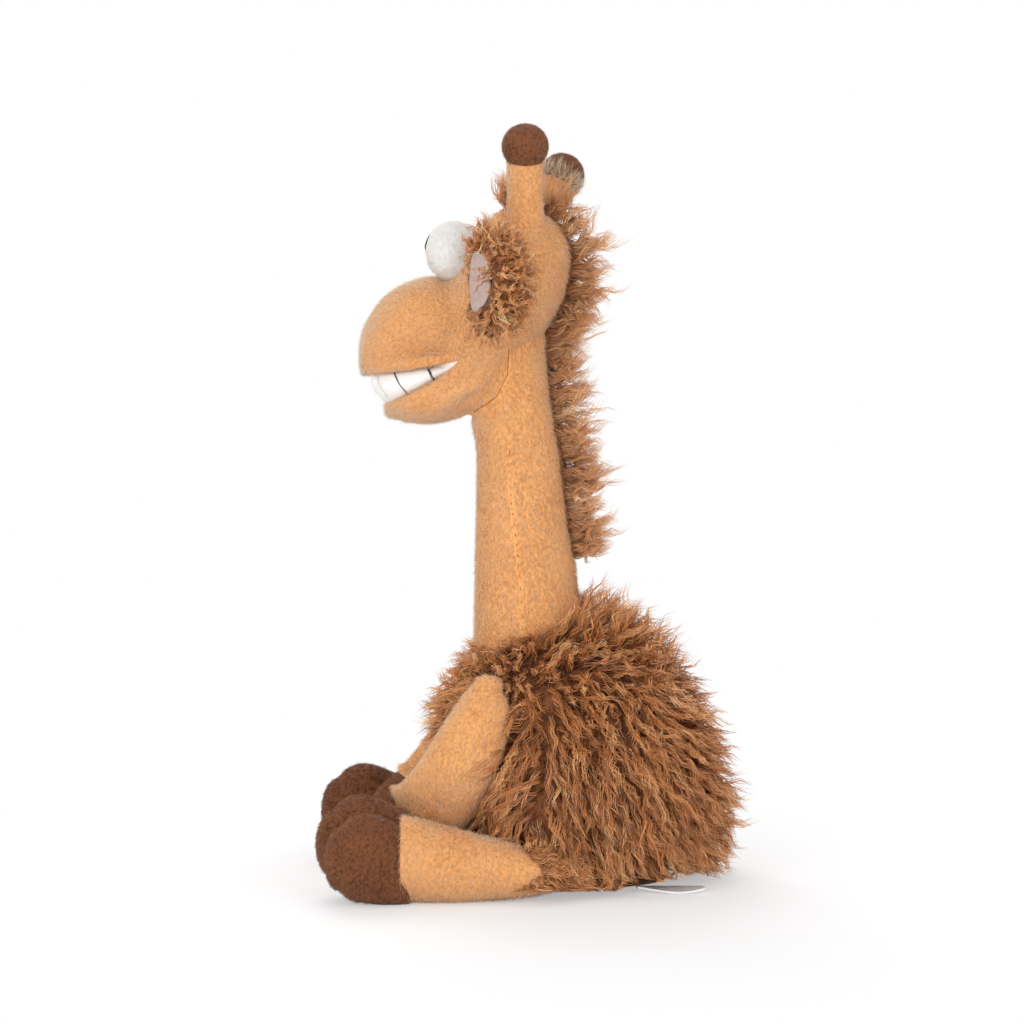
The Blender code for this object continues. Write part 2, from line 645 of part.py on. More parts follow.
# Ears
ear_rows = []
for run, edge, half in EAR_SHARES:
    rise = edge * EAR_HEIGHT / 2
    ear_rows.append((0.0, rise, run * EAR_LENGTH, -rise, run * EAR_LENGTH, half * EAR_THICKNESS / 2))
ear_ends = [(0.0, 0.0, share * EAR_LENGTH) for share in EAR_END_SHARES]
cup_centre = (-CUP_SEAT_SHARES[1] * EAR_THICKNESS, 0.0, CUP_SEAT_SHARES[0] * EAR_LENGTH)
cup_scale = (2 * CUP_DEPTH / CUP_LENGTH, CUP_HEIGHT / CUP_LENGTH, 1.0)
for name, side in SIDES.items():
    root = Vector(on_head(*EAR_SEAT_SHARES))
    root.x = flank(head_rows, root.y, root.z) - ROOT_INSET
    # The ear's own Z runs out along world X, its Y stands up and its X runs back
    stand = Matrix(((0.0, 0.0, 1.0, 0.0), (1.0, 0.0, 0.0, 0.0), (0.0, 1.0, 0.0, 0.0), (0.0, 0.0, 0.0, 1.0)))
    place = Matrix.Translation(root) @ Matrix.Rotation(EAR_SWEEP, 4, "Z") @ stand
    pivot = Vector((side * root.x, root.y, root.z))

    ear = add(f"{name}_ear", form(ear_rows, *ear_ends), place, side)
    ear.data.materials.append(shaggy_fur)
    combine(ear, add(f"{name}_ear_cup", ball(cup_centre, CUP_LENGTH / 2, cup_scale), place, side))
    swing = tuple(side * angle for angle in EAR_SWING)
    clear_swing(ear, head_tool, pivot, "Z", swing)
    combine(ear, add(f"{name}_ear_root", ball(pivot, EAR_ROOT_RADIUS)), "UNION")
    combine(head, add(f"{name}_ear_pocket", ball(pivot, EAR_ROOT_RADIUS + POCKET_GAP)))
    set_origin(ear, pivot)

    inner_radius = CUP_LENGTH / 2 - SEAM_GAP
    lining = add(f"{name}_ear_lining", ball(cup_centre, inner_radius, cup_scale), place, side)
    lining.data.materials.append(lining_plush)
    combine(lining, add(f"{name}_lining_edge", form(ear_rows, *ear_ends), place, side), "INTERSECT")
    front = (cup_centre[0] - LINING_THICKNESS, cup_centre[1], cup_centre[2])
    combine(lining, add(f"{name}_lining_dish", ball(front, inner_radius, cup_scale), place, side))
    clear_swing(lining, head_tool, pivot, "Z", swing)
    set_origin(lining, pivot)


def arm_rings(seat, shares):
    """Rings of an arm, whose places are shares of its length about the shoulder."""
    rings = []
    for x, y1, z1, y2, z2, half in shares:
        reach = np.array((x, y1, z1, y2, z2)) * ARM_LENGTH
        start = np.array((seat.x, seat.y, seat.z, seat.y, seat.z))
        rings.append((*(start + reach), half * ARM_WIDTH / 2))
    return rings


def arm_tips(seat, shares):
    """The rounded ends of an arm, as places that are shares of its length about the shoulder."""
    return [seat + Vector(share) * ARM_LENGTH for share in shares]


# Arms, and the brown hooves at their ends
shoulder = Vector((0.0, SHOULDER_SHARES[0] * BODY_DEPTH, SHOULDER_SHARES[1] * BODY_HEIGHT))
shoulder.x = flank(body_rows, shoulder.y, shoulder.z) - ROOT_INSET
arm_rows = arm_rings(shoulder, ARM_SHARES)
hand_rows = arm_rings(shoulder, HAND_SHARES)
for name, side in SIDES.items():
    pivot = Vector((side * shoulder.x, shoulder.y, shoulder.z))
    swing = tuple(-angle for angle in ARM_SWING)

    arm = add(f"{name}_arm", form(arm_rows, *arm_tips(shoulder, ARM_END_SHARES)), None, side)
    arm.data.materials.append(tan_plush)
    clear_swing(arm, body_tool, pivot, "X", swing)
    combine(arm, add(f"{name}_shoulder_root", ball(pivot, SHOULDER_RADIUS)), "UNION")
    combine(body_cover, add(f"{name}_shoulder_pocket", ball(pivot, SHOULDER_RADIUS + POCKET_GAP)))
    set_origin(arm, pivot)

    hand = add(f"{name}_hand", form(hand_rows, *arm_tips(shoulder, HAND_END_SHARES)), None, side)
    hand.data.materials.append(brown_plush)
    sleeve = form(arm_rows, *arm_tips(shoulder, ARM_END_SHARES), grow=SEAM_GAP)
    combine(hand, add(f"{name}_wrist_seam", sleeve, None, side))
    clear_swing(hand, body_tool, pivot, "X", swing)
    set_origin(hand, pivot)

# Legs, and the cloven hooves at their ends
for name, side in SIDES.items():
    forward = RIGHT_LEG_FORWARD if side < 0.0 else 0.0
    hip = Vector((0.0, HIP_SHARES[0] * BODY_DEPTH - forward, HIP_SHARES[1] * BODY_HEIGHT))
    hip.x = flank(body_rows, hip.y, hip.z) - ROOT_INSET
    pivot = Vector((side * hip.x, hip.y, hip.z))
    swing = tuple(-angle for angle in LEG_SWING)

    leg_rows = []
    for x, y, z1, z2, half in LEG_SHARES:
        run = hip.y + y * LEG_LENGTH
        upper = z1 * LEG_HEIGHT
        lower = z2 * LEG_HEIGHT
        leg_rows.append((hip.x + x * LEG_LENGTH, run, upper, run, lower, half * LEG_WIDTH / 2))
    leg_tips = []
    for x, y, z in LEG_END_SHARES:
        leg_tips.append((hip.x + x * LEG_LENGTH, hip.y + y * LEG_LENGTH, z * LEG_HEIGHT))
    leg = add(f"{name}_leg", form(leg_rows, *leg_tips), None, side)
    leg.data.materials.append(tan_plush)
    combine(leg, block(f"{name}_leg_floor", -BODY_HEIGHT, 0.0))
    clear_swing(leg, body_tool, pivot, "X", swing)
    combine(leg, add(f"{name}_hip_root", ball(pivot, HIP_RADIUS)), "UNION")
    combine(body_cover, add(f"{name}_hip_pocket", ball(pivot, HIP_RADIUS + POCKET_GAP)))
    set_origin(leg, pivot)

    ankle_x = leg_rows[-1][0]
    ankle_y = hip.y + ANKLE_SHARE * LEG_LENGTH
    toes = []
    for toe, spread, size, lift in (
        ("inner", -TOE_SPREAD, 1.0, INNER_TOE_LIFT),
        ("outer", TOE_SPREAD, OUTER_TOE_SHARE, 0.0),
    ):
        length = HOOF_LENGTH * size
        height = HOOF_HEIGHT * size
        toe_rows = []
        for x, y, z1, z2, half in TOE_SHARES:
            run = ankle_y + y * length
            lower = z2 * HOOF_HEIGHT + lift
            toe_rows.append((ankle_x + x * spread, run, z1 * height, run, lower, half * TOE_WIDTH / 2))
        toe_tips = []
        for x, y, z in TOE_END_SHARES:
            toe_tips.append((ankle_x + x * spread, ankle_y + y * length, z * height))
        toes.append(add(f"{name}_{toe}_toe", form(toe_rows, *toe_tips), None, side))
    hoof, other = toes
    hoof.name = f"{name}_hoof"
    hoof.data.materials.append(brown_plush)
    combine(hoof, other, "UNION")
    sock = form(leg_rows, *leg_tips, grow=SEAM_GAP)
    combine(hoof, add(f"{name}_ankle_seam", sock, None, side))
    combine(hoof, block(f"{name}_hoof_floor", -BODY_HEIGHT, 0.0))
    set_origin(hoof, pivot)

# The blank ribbon tab that is caught in the seam between the seat and the left flank
tab_ring = body_rows[0]
tab_y = TAB_SEAT_SHARES[1] * BODY_DEPTH
tab_x = TAB_SEAT_SHARES[0] * tab_ring[5]
mesh = bmesh.new()
bmesh.ops.create_cube(mesh, size=1.0)
bmesh.ops.scale(mesh, vec=(TAB_LENGTH, TAB_WIDTH, TAB_THICKNESS), verts=mesh.verts)
bmesh.ops.translate(mesh, vec=(tab_x + TAB_LENGTH / 2, tab_y, TAB_THICKNESS / 2), verts=mesh.verts)
tab = add("seam_tab", mesh)
tab.data.materials.append(white_ribbon)
combine(tab, add("tab_seam", body_form(SEAM_GAP, OVERRUN)))
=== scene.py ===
import bpy
import numpy as np
from math import radians
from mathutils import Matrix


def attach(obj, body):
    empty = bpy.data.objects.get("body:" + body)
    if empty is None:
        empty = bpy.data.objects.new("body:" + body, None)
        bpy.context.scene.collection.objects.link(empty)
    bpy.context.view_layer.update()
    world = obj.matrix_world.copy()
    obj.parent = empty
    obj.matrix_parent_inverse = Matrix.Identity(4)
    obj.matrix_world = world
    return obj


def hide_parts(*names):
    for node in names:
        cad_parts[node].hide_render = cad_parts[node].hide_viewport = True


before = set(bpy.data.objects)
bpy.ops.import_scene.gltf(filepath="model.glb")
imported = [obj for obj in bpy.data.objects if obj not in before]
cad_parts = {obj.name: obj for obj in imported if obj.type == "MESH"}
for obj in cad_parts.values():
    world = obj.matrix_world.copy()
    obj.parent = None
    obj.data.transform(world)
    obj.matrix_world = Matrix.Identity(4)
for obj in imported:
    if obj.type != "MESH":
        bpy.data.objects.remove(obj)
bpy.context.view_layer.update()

# Camera: level with the neck, on the toy's left side, 1.25 m away, looking a little down. Its place and its lens
# show the toy as the photograph does.
camera = bpy.data.objects.new("camera", bpy.data.cameras.new("camera"))
bpy.context.collection.objects.link(camera)
bpy.context.scene.camera = camera
camera.location = (1.25, -0.0417, 0.240)
tilt_down = 2.01
camera.rotation_euler = (radians(90 - tilt_down), 0, radians(90))
camera.data.sensor_width, camera.data.lens = 36, 82.125

# Head, upper muzzle and lower jaw: panels of tan short-pile plush, sewn into one stuffed shape
# with a soft crease under the eyes. The pile is about 3.5 mm long and lies towards the nose and down.


def unit(ways):
    """Each way made one long."""
    return ways / (np.linalg.norm(ways, axis=-1, keepdims=True) + 1e-12)


def circle(first, second, sides):
    """A ring of points: at each turn the first way by the cosine and the second by the sine."""
    turn = (np.arange(sides) * 2 * np.pi / sides)[:, None]
    return np.cos(turn) * first[..., None, :] + np.sin(turn) * second[..., None, :]


class Shape:
    """A closed surface as a grid of points: rings from one pole to the other, each closed on itself."""

    def __init__(self, grid, poles):
        self.grid, self.poles = grid, np.array(poles, float)
        first, last = (np.broadcast_to(pole, grid[:1].shape) for pole in self.poles)
        around = np.roll(grid, -1, 1) - np.roll(grid, 1, 1)
        along = np.gradient(np.concatenate([first, grid, last]), axis=0)[1:-1]
        out = unit(np.cross(around, along))
        outward = ((grid - grid.mean(1, keepdims=True)) * out).sum() > 0
        self.out = out if outward else -out

    def grown(self, by):
        """The same shape with each point moved along its normal by so many metres."""
        ends = self.poles + by * np.array([self.out[0].mean(0), self.out[-1].mean(0)])
        return Shape(self.grid + by * self.out, ends)

    def above(self, points, margin=0.003):
        """How far each point is over the surface, below nought inside it, and the surface's normal there:
        its offset from the nearest point of the grid, along that point's normal. A point past the shape's
        box by more than the margin counts as 1 m over it."""
        flat, out = self.grid.reshape(-1, 3), self.out.reshape(-1, 3)
        height, way = np.full(len(points), 1.0), np.zeros((len(points), 3))
        near = np.flatnonzero(((points > flat.min(0) - margin) & (points < flat.max(0) + margin)).all(1))
        for some in np.array_split(near, len(near) // 2000 + 1):
            best = ((flat ** 2).sum(1) - 2 * points[some] @ flat.T).argmin(1)
            height[some] = ((points[some] - flat[best]) * out[best]).sum(1)
            way[some] = out[best]
        return height, way


def stuffed(rings, tips, side=1, shift=(0, 0, 0), sides=56, steps=5):
    """A stuffed form from its rings, in millimetres: X of the middle, Y and Z of one edge, Y and Z of the
    other, half width. A ring is middle + half chord * cos(turn) + half width * sin(turn) along X. Between
    rings each number follows a Catmull-Rom curve. Past the first and the last ring the ring shrinks by the
    cosine while its middle goes to the tip by the sine, a quarter of an ellipse."""
    x, y, z, v, w, half = np.array(rings, float).T
    rows = np.stack([side * x, (y + v) / 2, (z + w) / 2, (y - v) / 2, (z - w) / 2, half], 1)
    rows = np.concatenate([2 * rows[:1] - rows[1:2], rows, 2 * rows[-1:] - rows[-2:-1]])
    last = len(rings) - 1
    run = np.linspace(0, last, last * steps + 1)
    first = np.minimum(run.astype(int), last - 1)
    t = (run - first)[:, None]
    a, b, c, d = (rows[first + i] for i in range(4))
    eased = b + 0.5 * t * (c - a + t * (2 * a - 5 * b + 4 * c - d + t * (3 * (b - c) + d - a)))
    dome = np.linspace(0, np.pi / 2, 8)[1:-1, None]
    tips = np.array(tips, float) * (side, 1, 1)

    def end(row, tip):
        closed = np.repeat(row[None], len(dome), 0)
        closed[:, :3] += (tip - row[:3]) * np.sin(dome)
        closed[:, 3:] *= np.cos(dome)
        return closed

    rows = np.concatenate([end(eased[0], tips[0])[::-1], eased, end(eased[-1], tips[1])])
    grid = rows[:, None, :3] + circle(np.insert(rows[:, 3:5], 0, 0, 1), rows[:, 5:] * (1, 0, 0), sides)
    return Shape((grid + shift) / 1000, (tips + shift) / 1000)


def uneven(points, size, seed):
    """A smooth random value at each point, mostly from -1 to 1: six sine waves of about one size."""
    rng = np.random.default_rng(seed)
    ways = rng.normal(size=(6, 3))
    ways *= 2 * np.pi / size / np.linalg.norm(ways, axis=1, keepdims=True) * rng.uniform(0.7, 1.4, (6, 1))
    return np.sin(points @ ways.T + rng.uniform(0, 6.28, 6)).sum(-1) / 2.4


def put(name, data):
    """An object of the scene."""
    thing = bpy.data.objects.new(name, data)
    bpy.context.collection.objects.link(thing)
    return thing


def sew(name, points, quads, tris, quad_uv, tri_uv, cloth, body):
    """A piece from its points, its faces of four and of three corners, and the corners' places on the
    OFBake map. The faces are turned over if the volume they enclose comes out below nought."""
    corner = np.concatenate([points[tris], points[quads[:, :3]], points[quads[:, [0, 2, 3]]]])
    if np.einsum("ij,ij->", corner[:, 0], np.cross(corner[:, 1], corner[:, 2])) < 0:
        quads, tris, quad_uv, tri_uv = quads[:, ::-1], tris[:, ::-1], quad_uv[:, ::-1], tri_uv[:, ::-1]
    mesh = bpy.data.meshes.new(name)
    mesh.vertices.add(len(points))
    mesh.vertices.foreach_set("co", points.astype(np.float32).ravel())
    corners = np.concatenate([quads.ravel(), tris.ravel()]).astype(np.int32)
    mesh.loops.add(len(corners))
    mesh.loops.foreach_set("vertex_index", corners)
    starts = np.concatenate([np.arange(len(quads)) * 4, len(quads) * 4 + np.arange(len(tris)) * 3])
    mesh.polygons.add(len(starts))
    mesh.polygons.foreach_set("loop_start", starts.astype(np.int32))
    places = np.concatenate([quad_uv.reshape(-1, 2), tri_uv.reshape(-1, 2)]).astype(np.float32)
    mesh.uv_layers.new(name="OFBake").uv.foreach_set("vector", places.ravel())
    mesh.update(calc_edges=True)
    mesh.shade_smooth()
    mesh.materials.append(cloth.made)
    piece = put(name, mesh)
    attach(piece, body)
    return piece


def skin(name, shape, cloth, body="giraffe"):
    """The cloth of a shape: its grid joined row to row and around, and closed to its poles, which count as the
    row before the first and the row after the last. Each corner of a face is a row and a column."""
    rows, around = shape.grid.shape[:2]
    i, j = (v.ravel() for v in np.meshgrid(np.arange(rows - 1), np.arange(around), indexing="ij"))
    ring, last, pole = np.arange(around), rows - 1, rows * around
    faces = [[(i, j), (i, j + 1), (i + 1, j + 1), (i + 1, j)], [(0, ring + 1), (0, ring), (-1, ring + 0.5)],
             [(last, ring), (last, ring + 1), (rows, ring + 0.5)]]

    def number(row, column):
        if np.isscalar(row) and row in (-1, rows):
            return np.full(around, pole + (row == rows))
        return row * around + column % around

    def spot(row, column):
        return np.stack([column / around, (row + 1) / (rows + 1) + 0 * column], -1)

    quads, *tris = (np.stack([number(*corner) for corner in face], 1) for face in faces)
    quad_uv, *tri_uv = (np.stack([spot(*corner) for corner in face], 1) for face in faces)
    return sew(name, np.concatenate([shape.grid.reshape(-1, 3), shape.poles]), quads, np.concatenate(tris), quad_uv,
               np.concatenate(tri_uv), cloth, body)


def read(items, field, width, kind=float):
    """One field of a mesh's points, corners or faces, with a row for each."""
    values = np.empty(len(items) * width, kind)
    items.foreach_get(field, values)
    return values.reshape(-1, width)


def fused(name, shapes, voxel, rounds, cloth, body="giraffe"):
    """Several shapes grown into one skin: their grids together are remeshed in cubes of one size, then each
    point moves towards the mean of its neighbours, round after round. On the OFBake map each face lies flat
    in one of six fields, by the side of the box it faces."""
    points, faces, start = [], [], 0
    for shape in shapes:
        part = skin("part", shape, cloth, body)
        part.data.calc_loop_triangles()
        points.append(read(part.data.vertices, "co", 3))
        faces.append(read(part.data.loop_triangles, "vertices", 3, int) + start)
        start += len(points[-1])
        bpy.data.objects.remove(part)
    whole = put("whole", bpy.data.meshes.new("whole"))
    whole.data.from_pydata(np.concatenate(points), [], np.concatenate(faces))
    remesh = whole.modifiers.new("remesh", "REMESH")
    remesh.mode, remesh.voxel_size = "VOXEL", voxel
    smooth = whole.modifiers.new("smooth", "SMOOTH")
    smooth.factor, smooth.iterations = 0.5, rounds
    made = bpy.data.meshes.new_from_object(whole.evaluated_get(bpy.context.evaluated_depsgraph_get()))
    bpy.data.objects.remove(whole)
    points, quads = read(made.vertices, "co", 3), read(made.loops, "vertex_index", 1, int).reshape(-1, 4)
    bpy.data.meshes.remove(made)
    return sew(name, points, quads, quads[:0, :3], boxed(points, quads), np.zeros((0, 3, 2)), cloth, body)


def boxed(points, quads):
    """Places on the OFBake map for a skin's faces: each is seen square on from the side of the box that it
    faces most, and the six sides have a field each, three across and two up."""
    corner = points[quads]
    facing = np.cross(corner[:, 2] - corner[:, 0], corner[:, 3] - corner[:, 1])
    axis = np.abs(facing).argmax(1)
    front = np.take_along_axis(facing, axis[:, None], 1)[:, 0] > 0
    low = points.min(0)
    share = (corner - low) / (points.max(0) - low).max()
    flat = np.take_along_axis(share, np.array([[1, 2], [0, 2], [0, 1]])[axis][:, None], 2)
    field = np.stack([axis / 3, front / 2], 1)[:, None]
    return field + (0.02 + flat * 0.96) * (1 / 3, 1 / 2)


def scatter(piece, per_mm2, seed):
    """Roots spread evenly over a piece's skin, and the skin's normals there: faces are drawn by their area,
    and a root's place in its face by two random shares."""
    rng, mesh = np.random.default_rng(seed), piece.data
    mesh.calc_loop_triangles()
    tris = read(mesh.loop_triangles, "vertices", 3, int)
    points, normals = read(mesh.vertices, "co", 3), read(mesh.vertex_normals, "vector", 3)
    corner = points[tris]
    area = np.linalg.norm(np.cross(corner[:, 1] - corner[:, 0], corner[:, 2] - corner[:, 0]), axis=1) / 2
    total = np.cumsum(area)
    count = int(total[-1] * 1e6 * per_mm2)
    face = np.searchsorted(total, (np.arange(count) + rng.random(count)) / count * total[-1])
    face = tris[face.clip(0, len(area) - 1)]
    a, b = np.sqrt(rng.random((2, count, 1)))[0], rng.random((count, 1))
    share = np.concatenate([1 - a, a * (1 - b), a * b], 1)
    root, out = (np.einsum("ij,ijk->ik", share, values[face]) for values in (points, normals))
    return root, unit(out)


TONES = 16


def hairs(name, paths, radius, tone, cloth, body="giraffe"):
    """Hairs along their paths (hair, point, XYZ). Each is a tube of three sides, radius thick at each point,
    closed at its root and drawn to a point at its tip. On the OFBake map a hair lies in the column of its
    tone, from root to tip upwards, so that its colour goes by tone and by length alone."""
    count, last = len(paths), paths.shape[1] - 1
    ahead = unit(np.gradient(paths, axis=1))
    least = np.abs(paths[:, -1] - paths[:, 0]).argmin(1)
    aside = unit(np.cross(ahead, np.eye(3)[least][:, None]))
    spread, t = circle(aside[:, :-1], np.cross(ahead, aside)[:, :-1], 3), np.arange(3)
    rings = paths[:, :-1, None] + radius[:, :-1, None, None] * spread
    points = np.concatenate([rings.reshape(count, last * 3, 3), paths[:, -1:]], 1).reshape(-1, 3)
    i, s = (v.ravel() for v in np.meshgrid(np.arange(last - 1), t, indexing="ij"))
    n, e = (s + 1) % 3, 3 * (last - 1)
    quad = np.stack([3 * i + s, 3 * i + n, 3 * i + 3 + n, 3 * i + 3 + s], 1)
    tri = np.concatenate([[[0, 2, 1]], np.stack([e + t, e + (t + 1) % 3, 0 * t + 3 * last], 1)])
    quad_spot = np.stack([np.stack([s, s + 1, s + 1, s], 1) / 3, np.stack([i, i, i + 1, i + 1], 1) / last], 2)
    tip_up = np.broadcast_to(np.array([last - 1, last - 1, last]) / last, (3, 3))
    tri_spot = np.concatenate([[[[0, 0], [0.67, 0], [0.33, 0.3 / last]]],
                               np.stack([np.stack([t, t + 1, t + 0.5], 1) / 3, tip_up], 2)])
    start = (np.arange(count) * (3 * last + 1))[:, None, None]
    column = np.asarray(tone).clip(0, TONES - 1).astype(int)[:, None, None]

    def placed(spot):
        spot = np.broadcast_to(spot, (count, *spot.shape))
        places = np.stack([(column + 0.15 + 0.7 * spot[..., 0]) / TONES, 0.02 + 0.96 * spot[..., 1]], -1)
        return places.reshape(-1, *spot.shape[2:])

    return sew(name, points, (start + quad).reshape(-1, 4), (start + tri).reshape(-1, 3), placed(quad_spot),
               placed(tri_spot), cloth, body)


def pile(piece, comb, hidden, cloth, tone, seed, body="giraffe", per_mm2=1.0, length=3.8, lean=0.4, thick=0.14,
         seams=(), where=None):
    """The short pile of a skin: one straight hair at each root, leaning from the skin's normal along the
    nap. The nap is the comb, one way or a way for each root, laid into the skin. It wanders, in patches 22 mm
    and in tufts 3 mm wide. Roots on the floor, inside a neighbour, close to a seam or outside the given part
    are left out."""
    off_floor, inside, parting = 0.0006, -0.0008, 0.0011
    root, out = scatter(piece, per_mm2, seed)
    keep = root[:, 2] > off_floor
    if where:
        keep &= where(root)
    for shape in hidden:
        keep &= shape.above(root)[0] > inside
    for seam in seams:
        keep &= ((root[:, None] - seam) ** 2).sum(2).min(1) > parting ** 2
    root, out = root[keep], out[keep]
    rng = np.random.default_rng(seed + 1)
    patch, knot = (np.stack([uneven(root, size, seed + n) for n in range(3)], 1) for size in (0.022, 0.003))
    way = comb(root) if callable(comb) else np.array(comb)
    nap = way + 0.12 * rng.normal(size=root.shape) + 0.25 * patch + 0.22 * knot
    nap = unit(nap - out * (nap * out).sum(1, keepdims=True))
    rise = lean * rng.uniform(0.75, 1.25, (len(root), 1)) * (1 + 0.4 * knot[:, :1])
    reach = length / 1000 * rng.uniform(0.7, 1.15, (len(root), 1))
    paths = np.stack([root - out * 0.0002, root + (out * np.sin(rise) + nap * np.cos(rise)) * reach], 1)
    paths[:, :, 2] = np.maximum(paths[:, :, 2], 0.0002)
    radius = np.repeat(thick / 1000 * rng.uniform(0.7, 1.3, (len(root), 1)), 2, 1)
    column = TONES * (tone(root) + 0.16 * rng.normal(size=len(root)))
    return hairs(piece.name + "_pile", paths, radius, column, cloth, body)


def dye(red, green, blue):
    """A colour of the screen, 0 to 255, as the light it stands for."""
    share = np.array([red, green, blue]) / 255
    return (*np.where(share <= 0.04045, share / 12.92, ((share + 0.055) / 1.055) ** 2.4), 1)


class Thread:
    """One value in a material. + - * and ** on it add Math nodes."""

    def __init__(self, cloth, socket):
        self.cloth, self.socket = cloth, socket

    def maths(self, operation, *values):
        return self.cloth.node("ShaderNodeMath", {"operation": operation}, dict(enumerate(values)))

    def __add__(self, other):
        return self.maths("ADD", self, other)

    def __mul__(self, other):
        return self.maths("MULTIPLY", self, other)

    def __sub__(self, other):
        return self.maths("SUBTRACT", self, other)

    def __rsub__(self, other):
        return self.maths("SUBTRACT", other, self)

    def __pow__(self, other):
        return self.maths("POWER", self, other)

    __radd__, __rmul__ = __add__, __mul__


class Cloth:
    """A material for one slot. node adds one node: its type, its settings, the values or links of its sockets."""

    def __init__(self, name, slot=None, made=None):
        self.slot, self.made = slot, made or bpy.data.materials.new(name)
        self.made.use_nodes = True
        self.tree = self.made.node_tree
        self.tree.nodes.clear()

    def node(self, kind, settings, sockets, output=0):
        node = self.tree.nodes.new(kind)
        for key, value in settings.items():
            setattr(node, key, value)
        for key, value in sockets.items():
            if isinstance(value, Thread):
                self.tree.links.new(value.socket, node.inputs[key])
            else:
                node.inputs[key].default_value = value
        return Thread(self, node.outputs[output] if node.outputs else None)

    def ramp(self, value, *stops):
        """A colour that goes with a value, through stops of (value, colour)."""
        node = self.tree.nodes.new("ShaderNodeValToRGB")
        bar = node.color_ramp.elements
        bar[0].position, bar[0].color = stops[0]
        bar[1].position, bar[1].color = stops[-1]
        for place, colour in stops[1:-1]:
            bar.new(place).color = colour
        self.tree.links.new(value.socket, node.inputs[0])
        return Thread(self, node.outputs[0])

    def mixed(self, share, first, second, blend="MIX"):
        """Two colours mixed by a share from 0 to 1."""
        return self.node("ShaderNodeMix", {"data_type": "RGBA", "blend_type": blend},
                         {0: share, 6: first, 7: second}, 2)

    def place(self):
        """The point of the surface, in metres."""
        return self.node("ShaderNodeTexCoord", {}, {}, 3)

    def grain(self, size, detail=2.0):
        """Noise from 0 to 1 with spots of about so many millimetres."""
        return self.node("ShaderNodeTexNoise", {}, {"Vector": self.place(), "Scale": 500 / size,
                                                    "Detail": detail, "Roughness": 0.6})

    def finish(self, colour, roughness, bump=None, depth=0.0005, **constants):
        """The finished cloth: a Principled surface, with an optional bump of so many metres."""
        sockets = {"Base Color": colour, "Roughness": roughness,
                   **{key.replace("_", " "): value for key, value in constants.items()}}
        if bump is not None:
            sockets["Normal"] = self.node("ShaderNodeBump", {}, {"Strength": 1.0, "Distance": depth, "Height": bump})
        surface = self.node("ShaderNodeBsdfPrincipled", {}, sockets)
        self.node("ShaderNodeOutputMaterial", {}, {0: surface})
        return self


def backing(name, slot, dark, plain, size, sheen=0.25):
    """The cloth under a pile: its colour over a rough grain, with random darker specks, painted shade as where the
    pile parts.
    """
    cloth = Cloth(name, slot)
    fine = cloth.grain(size, 3)
    # Painted shade: darker specks at random, as in the partings of the pile.
    colour = cloth.ramp(fine + 0.35 * cloth.grain(14) - 0.17, (0.34, dye(*dark)), (0.56, dye(*plain)))
    return cloth.finish(colour, 0.9, bump=fine, depth=0.0008, Sheen_Weight=sheen, Sheen_Roughness=0.5,
                        Specular_IOR_Level=0.2)


def tuft(name, slot, tones, root, shine=0.85, sheen=0.25, specular=0.2):
    """Hair, short or long. The colour goes with the hair's tone, across the OFBake map, and towards the root it is
    multiplied by the shade given, a painted shade deep in the pile that leaves the tips paler, as if lit at the edges.
    The roughness, from shine up, differs from tone to tone."""
    cloth = Cloth(name, slot)
    spot = cloth.node("ShaderNodeUVMap", {"uv_map": "OFBake"}, {})
    across, up = (cloth.node("ShaderNodeSeparateXYZ", {}, {0: spot}, output) for output in (0, 1))
    colour = cloth.ramp(across, *((place, dye(*tone)) for place, tone in tones.items()))
    # Painted shade: the hair darkens towards its root, so its paler tips read as light where the pile is seen edge-on.
    shade = cloth.ramp(up, (0.0, (*root, 1)), (0.8, (1, 1, 1, 1)))
    column = across * TONES
    spin = cloth.node("ShaderNodeTexWhiteNoise", {"noise_dimensions": "1D"}, {"W": column.maths("FLOOR", column)})
    return cloth.finish(cloth.mixed(1.0, colour, shade, "MULTIPLY"), spin * 0.3 + shine,
                        Sheen_Weight=sheen, Sheen_Roughness=0.5, Specular_IOR_Level=specular)


def padded(piece, fill, *nodes):
    """Hides the CAD nodes that the piece stands for, and gives the piece back."""
    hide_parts(*nodes)
    return piece


tan_backing = backing("tan_backing", "tan_plush", (200, 130, 70), (226, 164, 102), 0.9)
tan_pile = tuft("tan_pile", "tan_plush", {0: (208, 150, 94), 0.35: (235, 186, 130), 0.65: (243, 203, 154),
                                          1: (238, 214, 184)}, (0.89, 0.74, 0.57), sheen=0.4)

HEAD = [(0, -77.9, 254, -47, 256.1, 19.8), (0, -83.9, 262, -43, 264.1, 27.1), (0, -87.9, 275, -39.9, 277, 32),
        (0, -89.9, 290, -25, 291.1, 36.9), (0, -85.9, 305, -14.9, 308, 40.1), (0, -77, 320, -11, 325, 40.5),
        (0, -67.9, 334.1, -11.9, 337.1, 38.1), (0, -59.9, 345.1, -17.4, 348, 31.2),
        (0, -51.9, 352, -25.9, 355.6, 19.8)]
MUZZLE = [(0, -51.9, 312.1, -51.9, 282.1, 28), (0, -69.9, 319.1, -68.9, 274.1, 32.9),
          (0, -85.9, 321.1, -86.9, 271.6, 35), (0, -100.9, 316.1, -101.9, 269.6, 34),
          (0, -110.9, 308.6, -111.9, 268.6, 30.1), (0, -117.4, 299.1, -119.4, 269.6, 23.1)]
JAW = [(0, -61.9, 272, -61.9, 250, 21.9), (0, -75.9, 268.5, -75.9, 245.5, 27.1), (0, -86.9, 263, -86.9, 244, 28.5),
       (0, -96.9, 258.8, -95.9, 245, 25.1), (0, -103.9, 256.8, -102.9, 246.8, 18)]
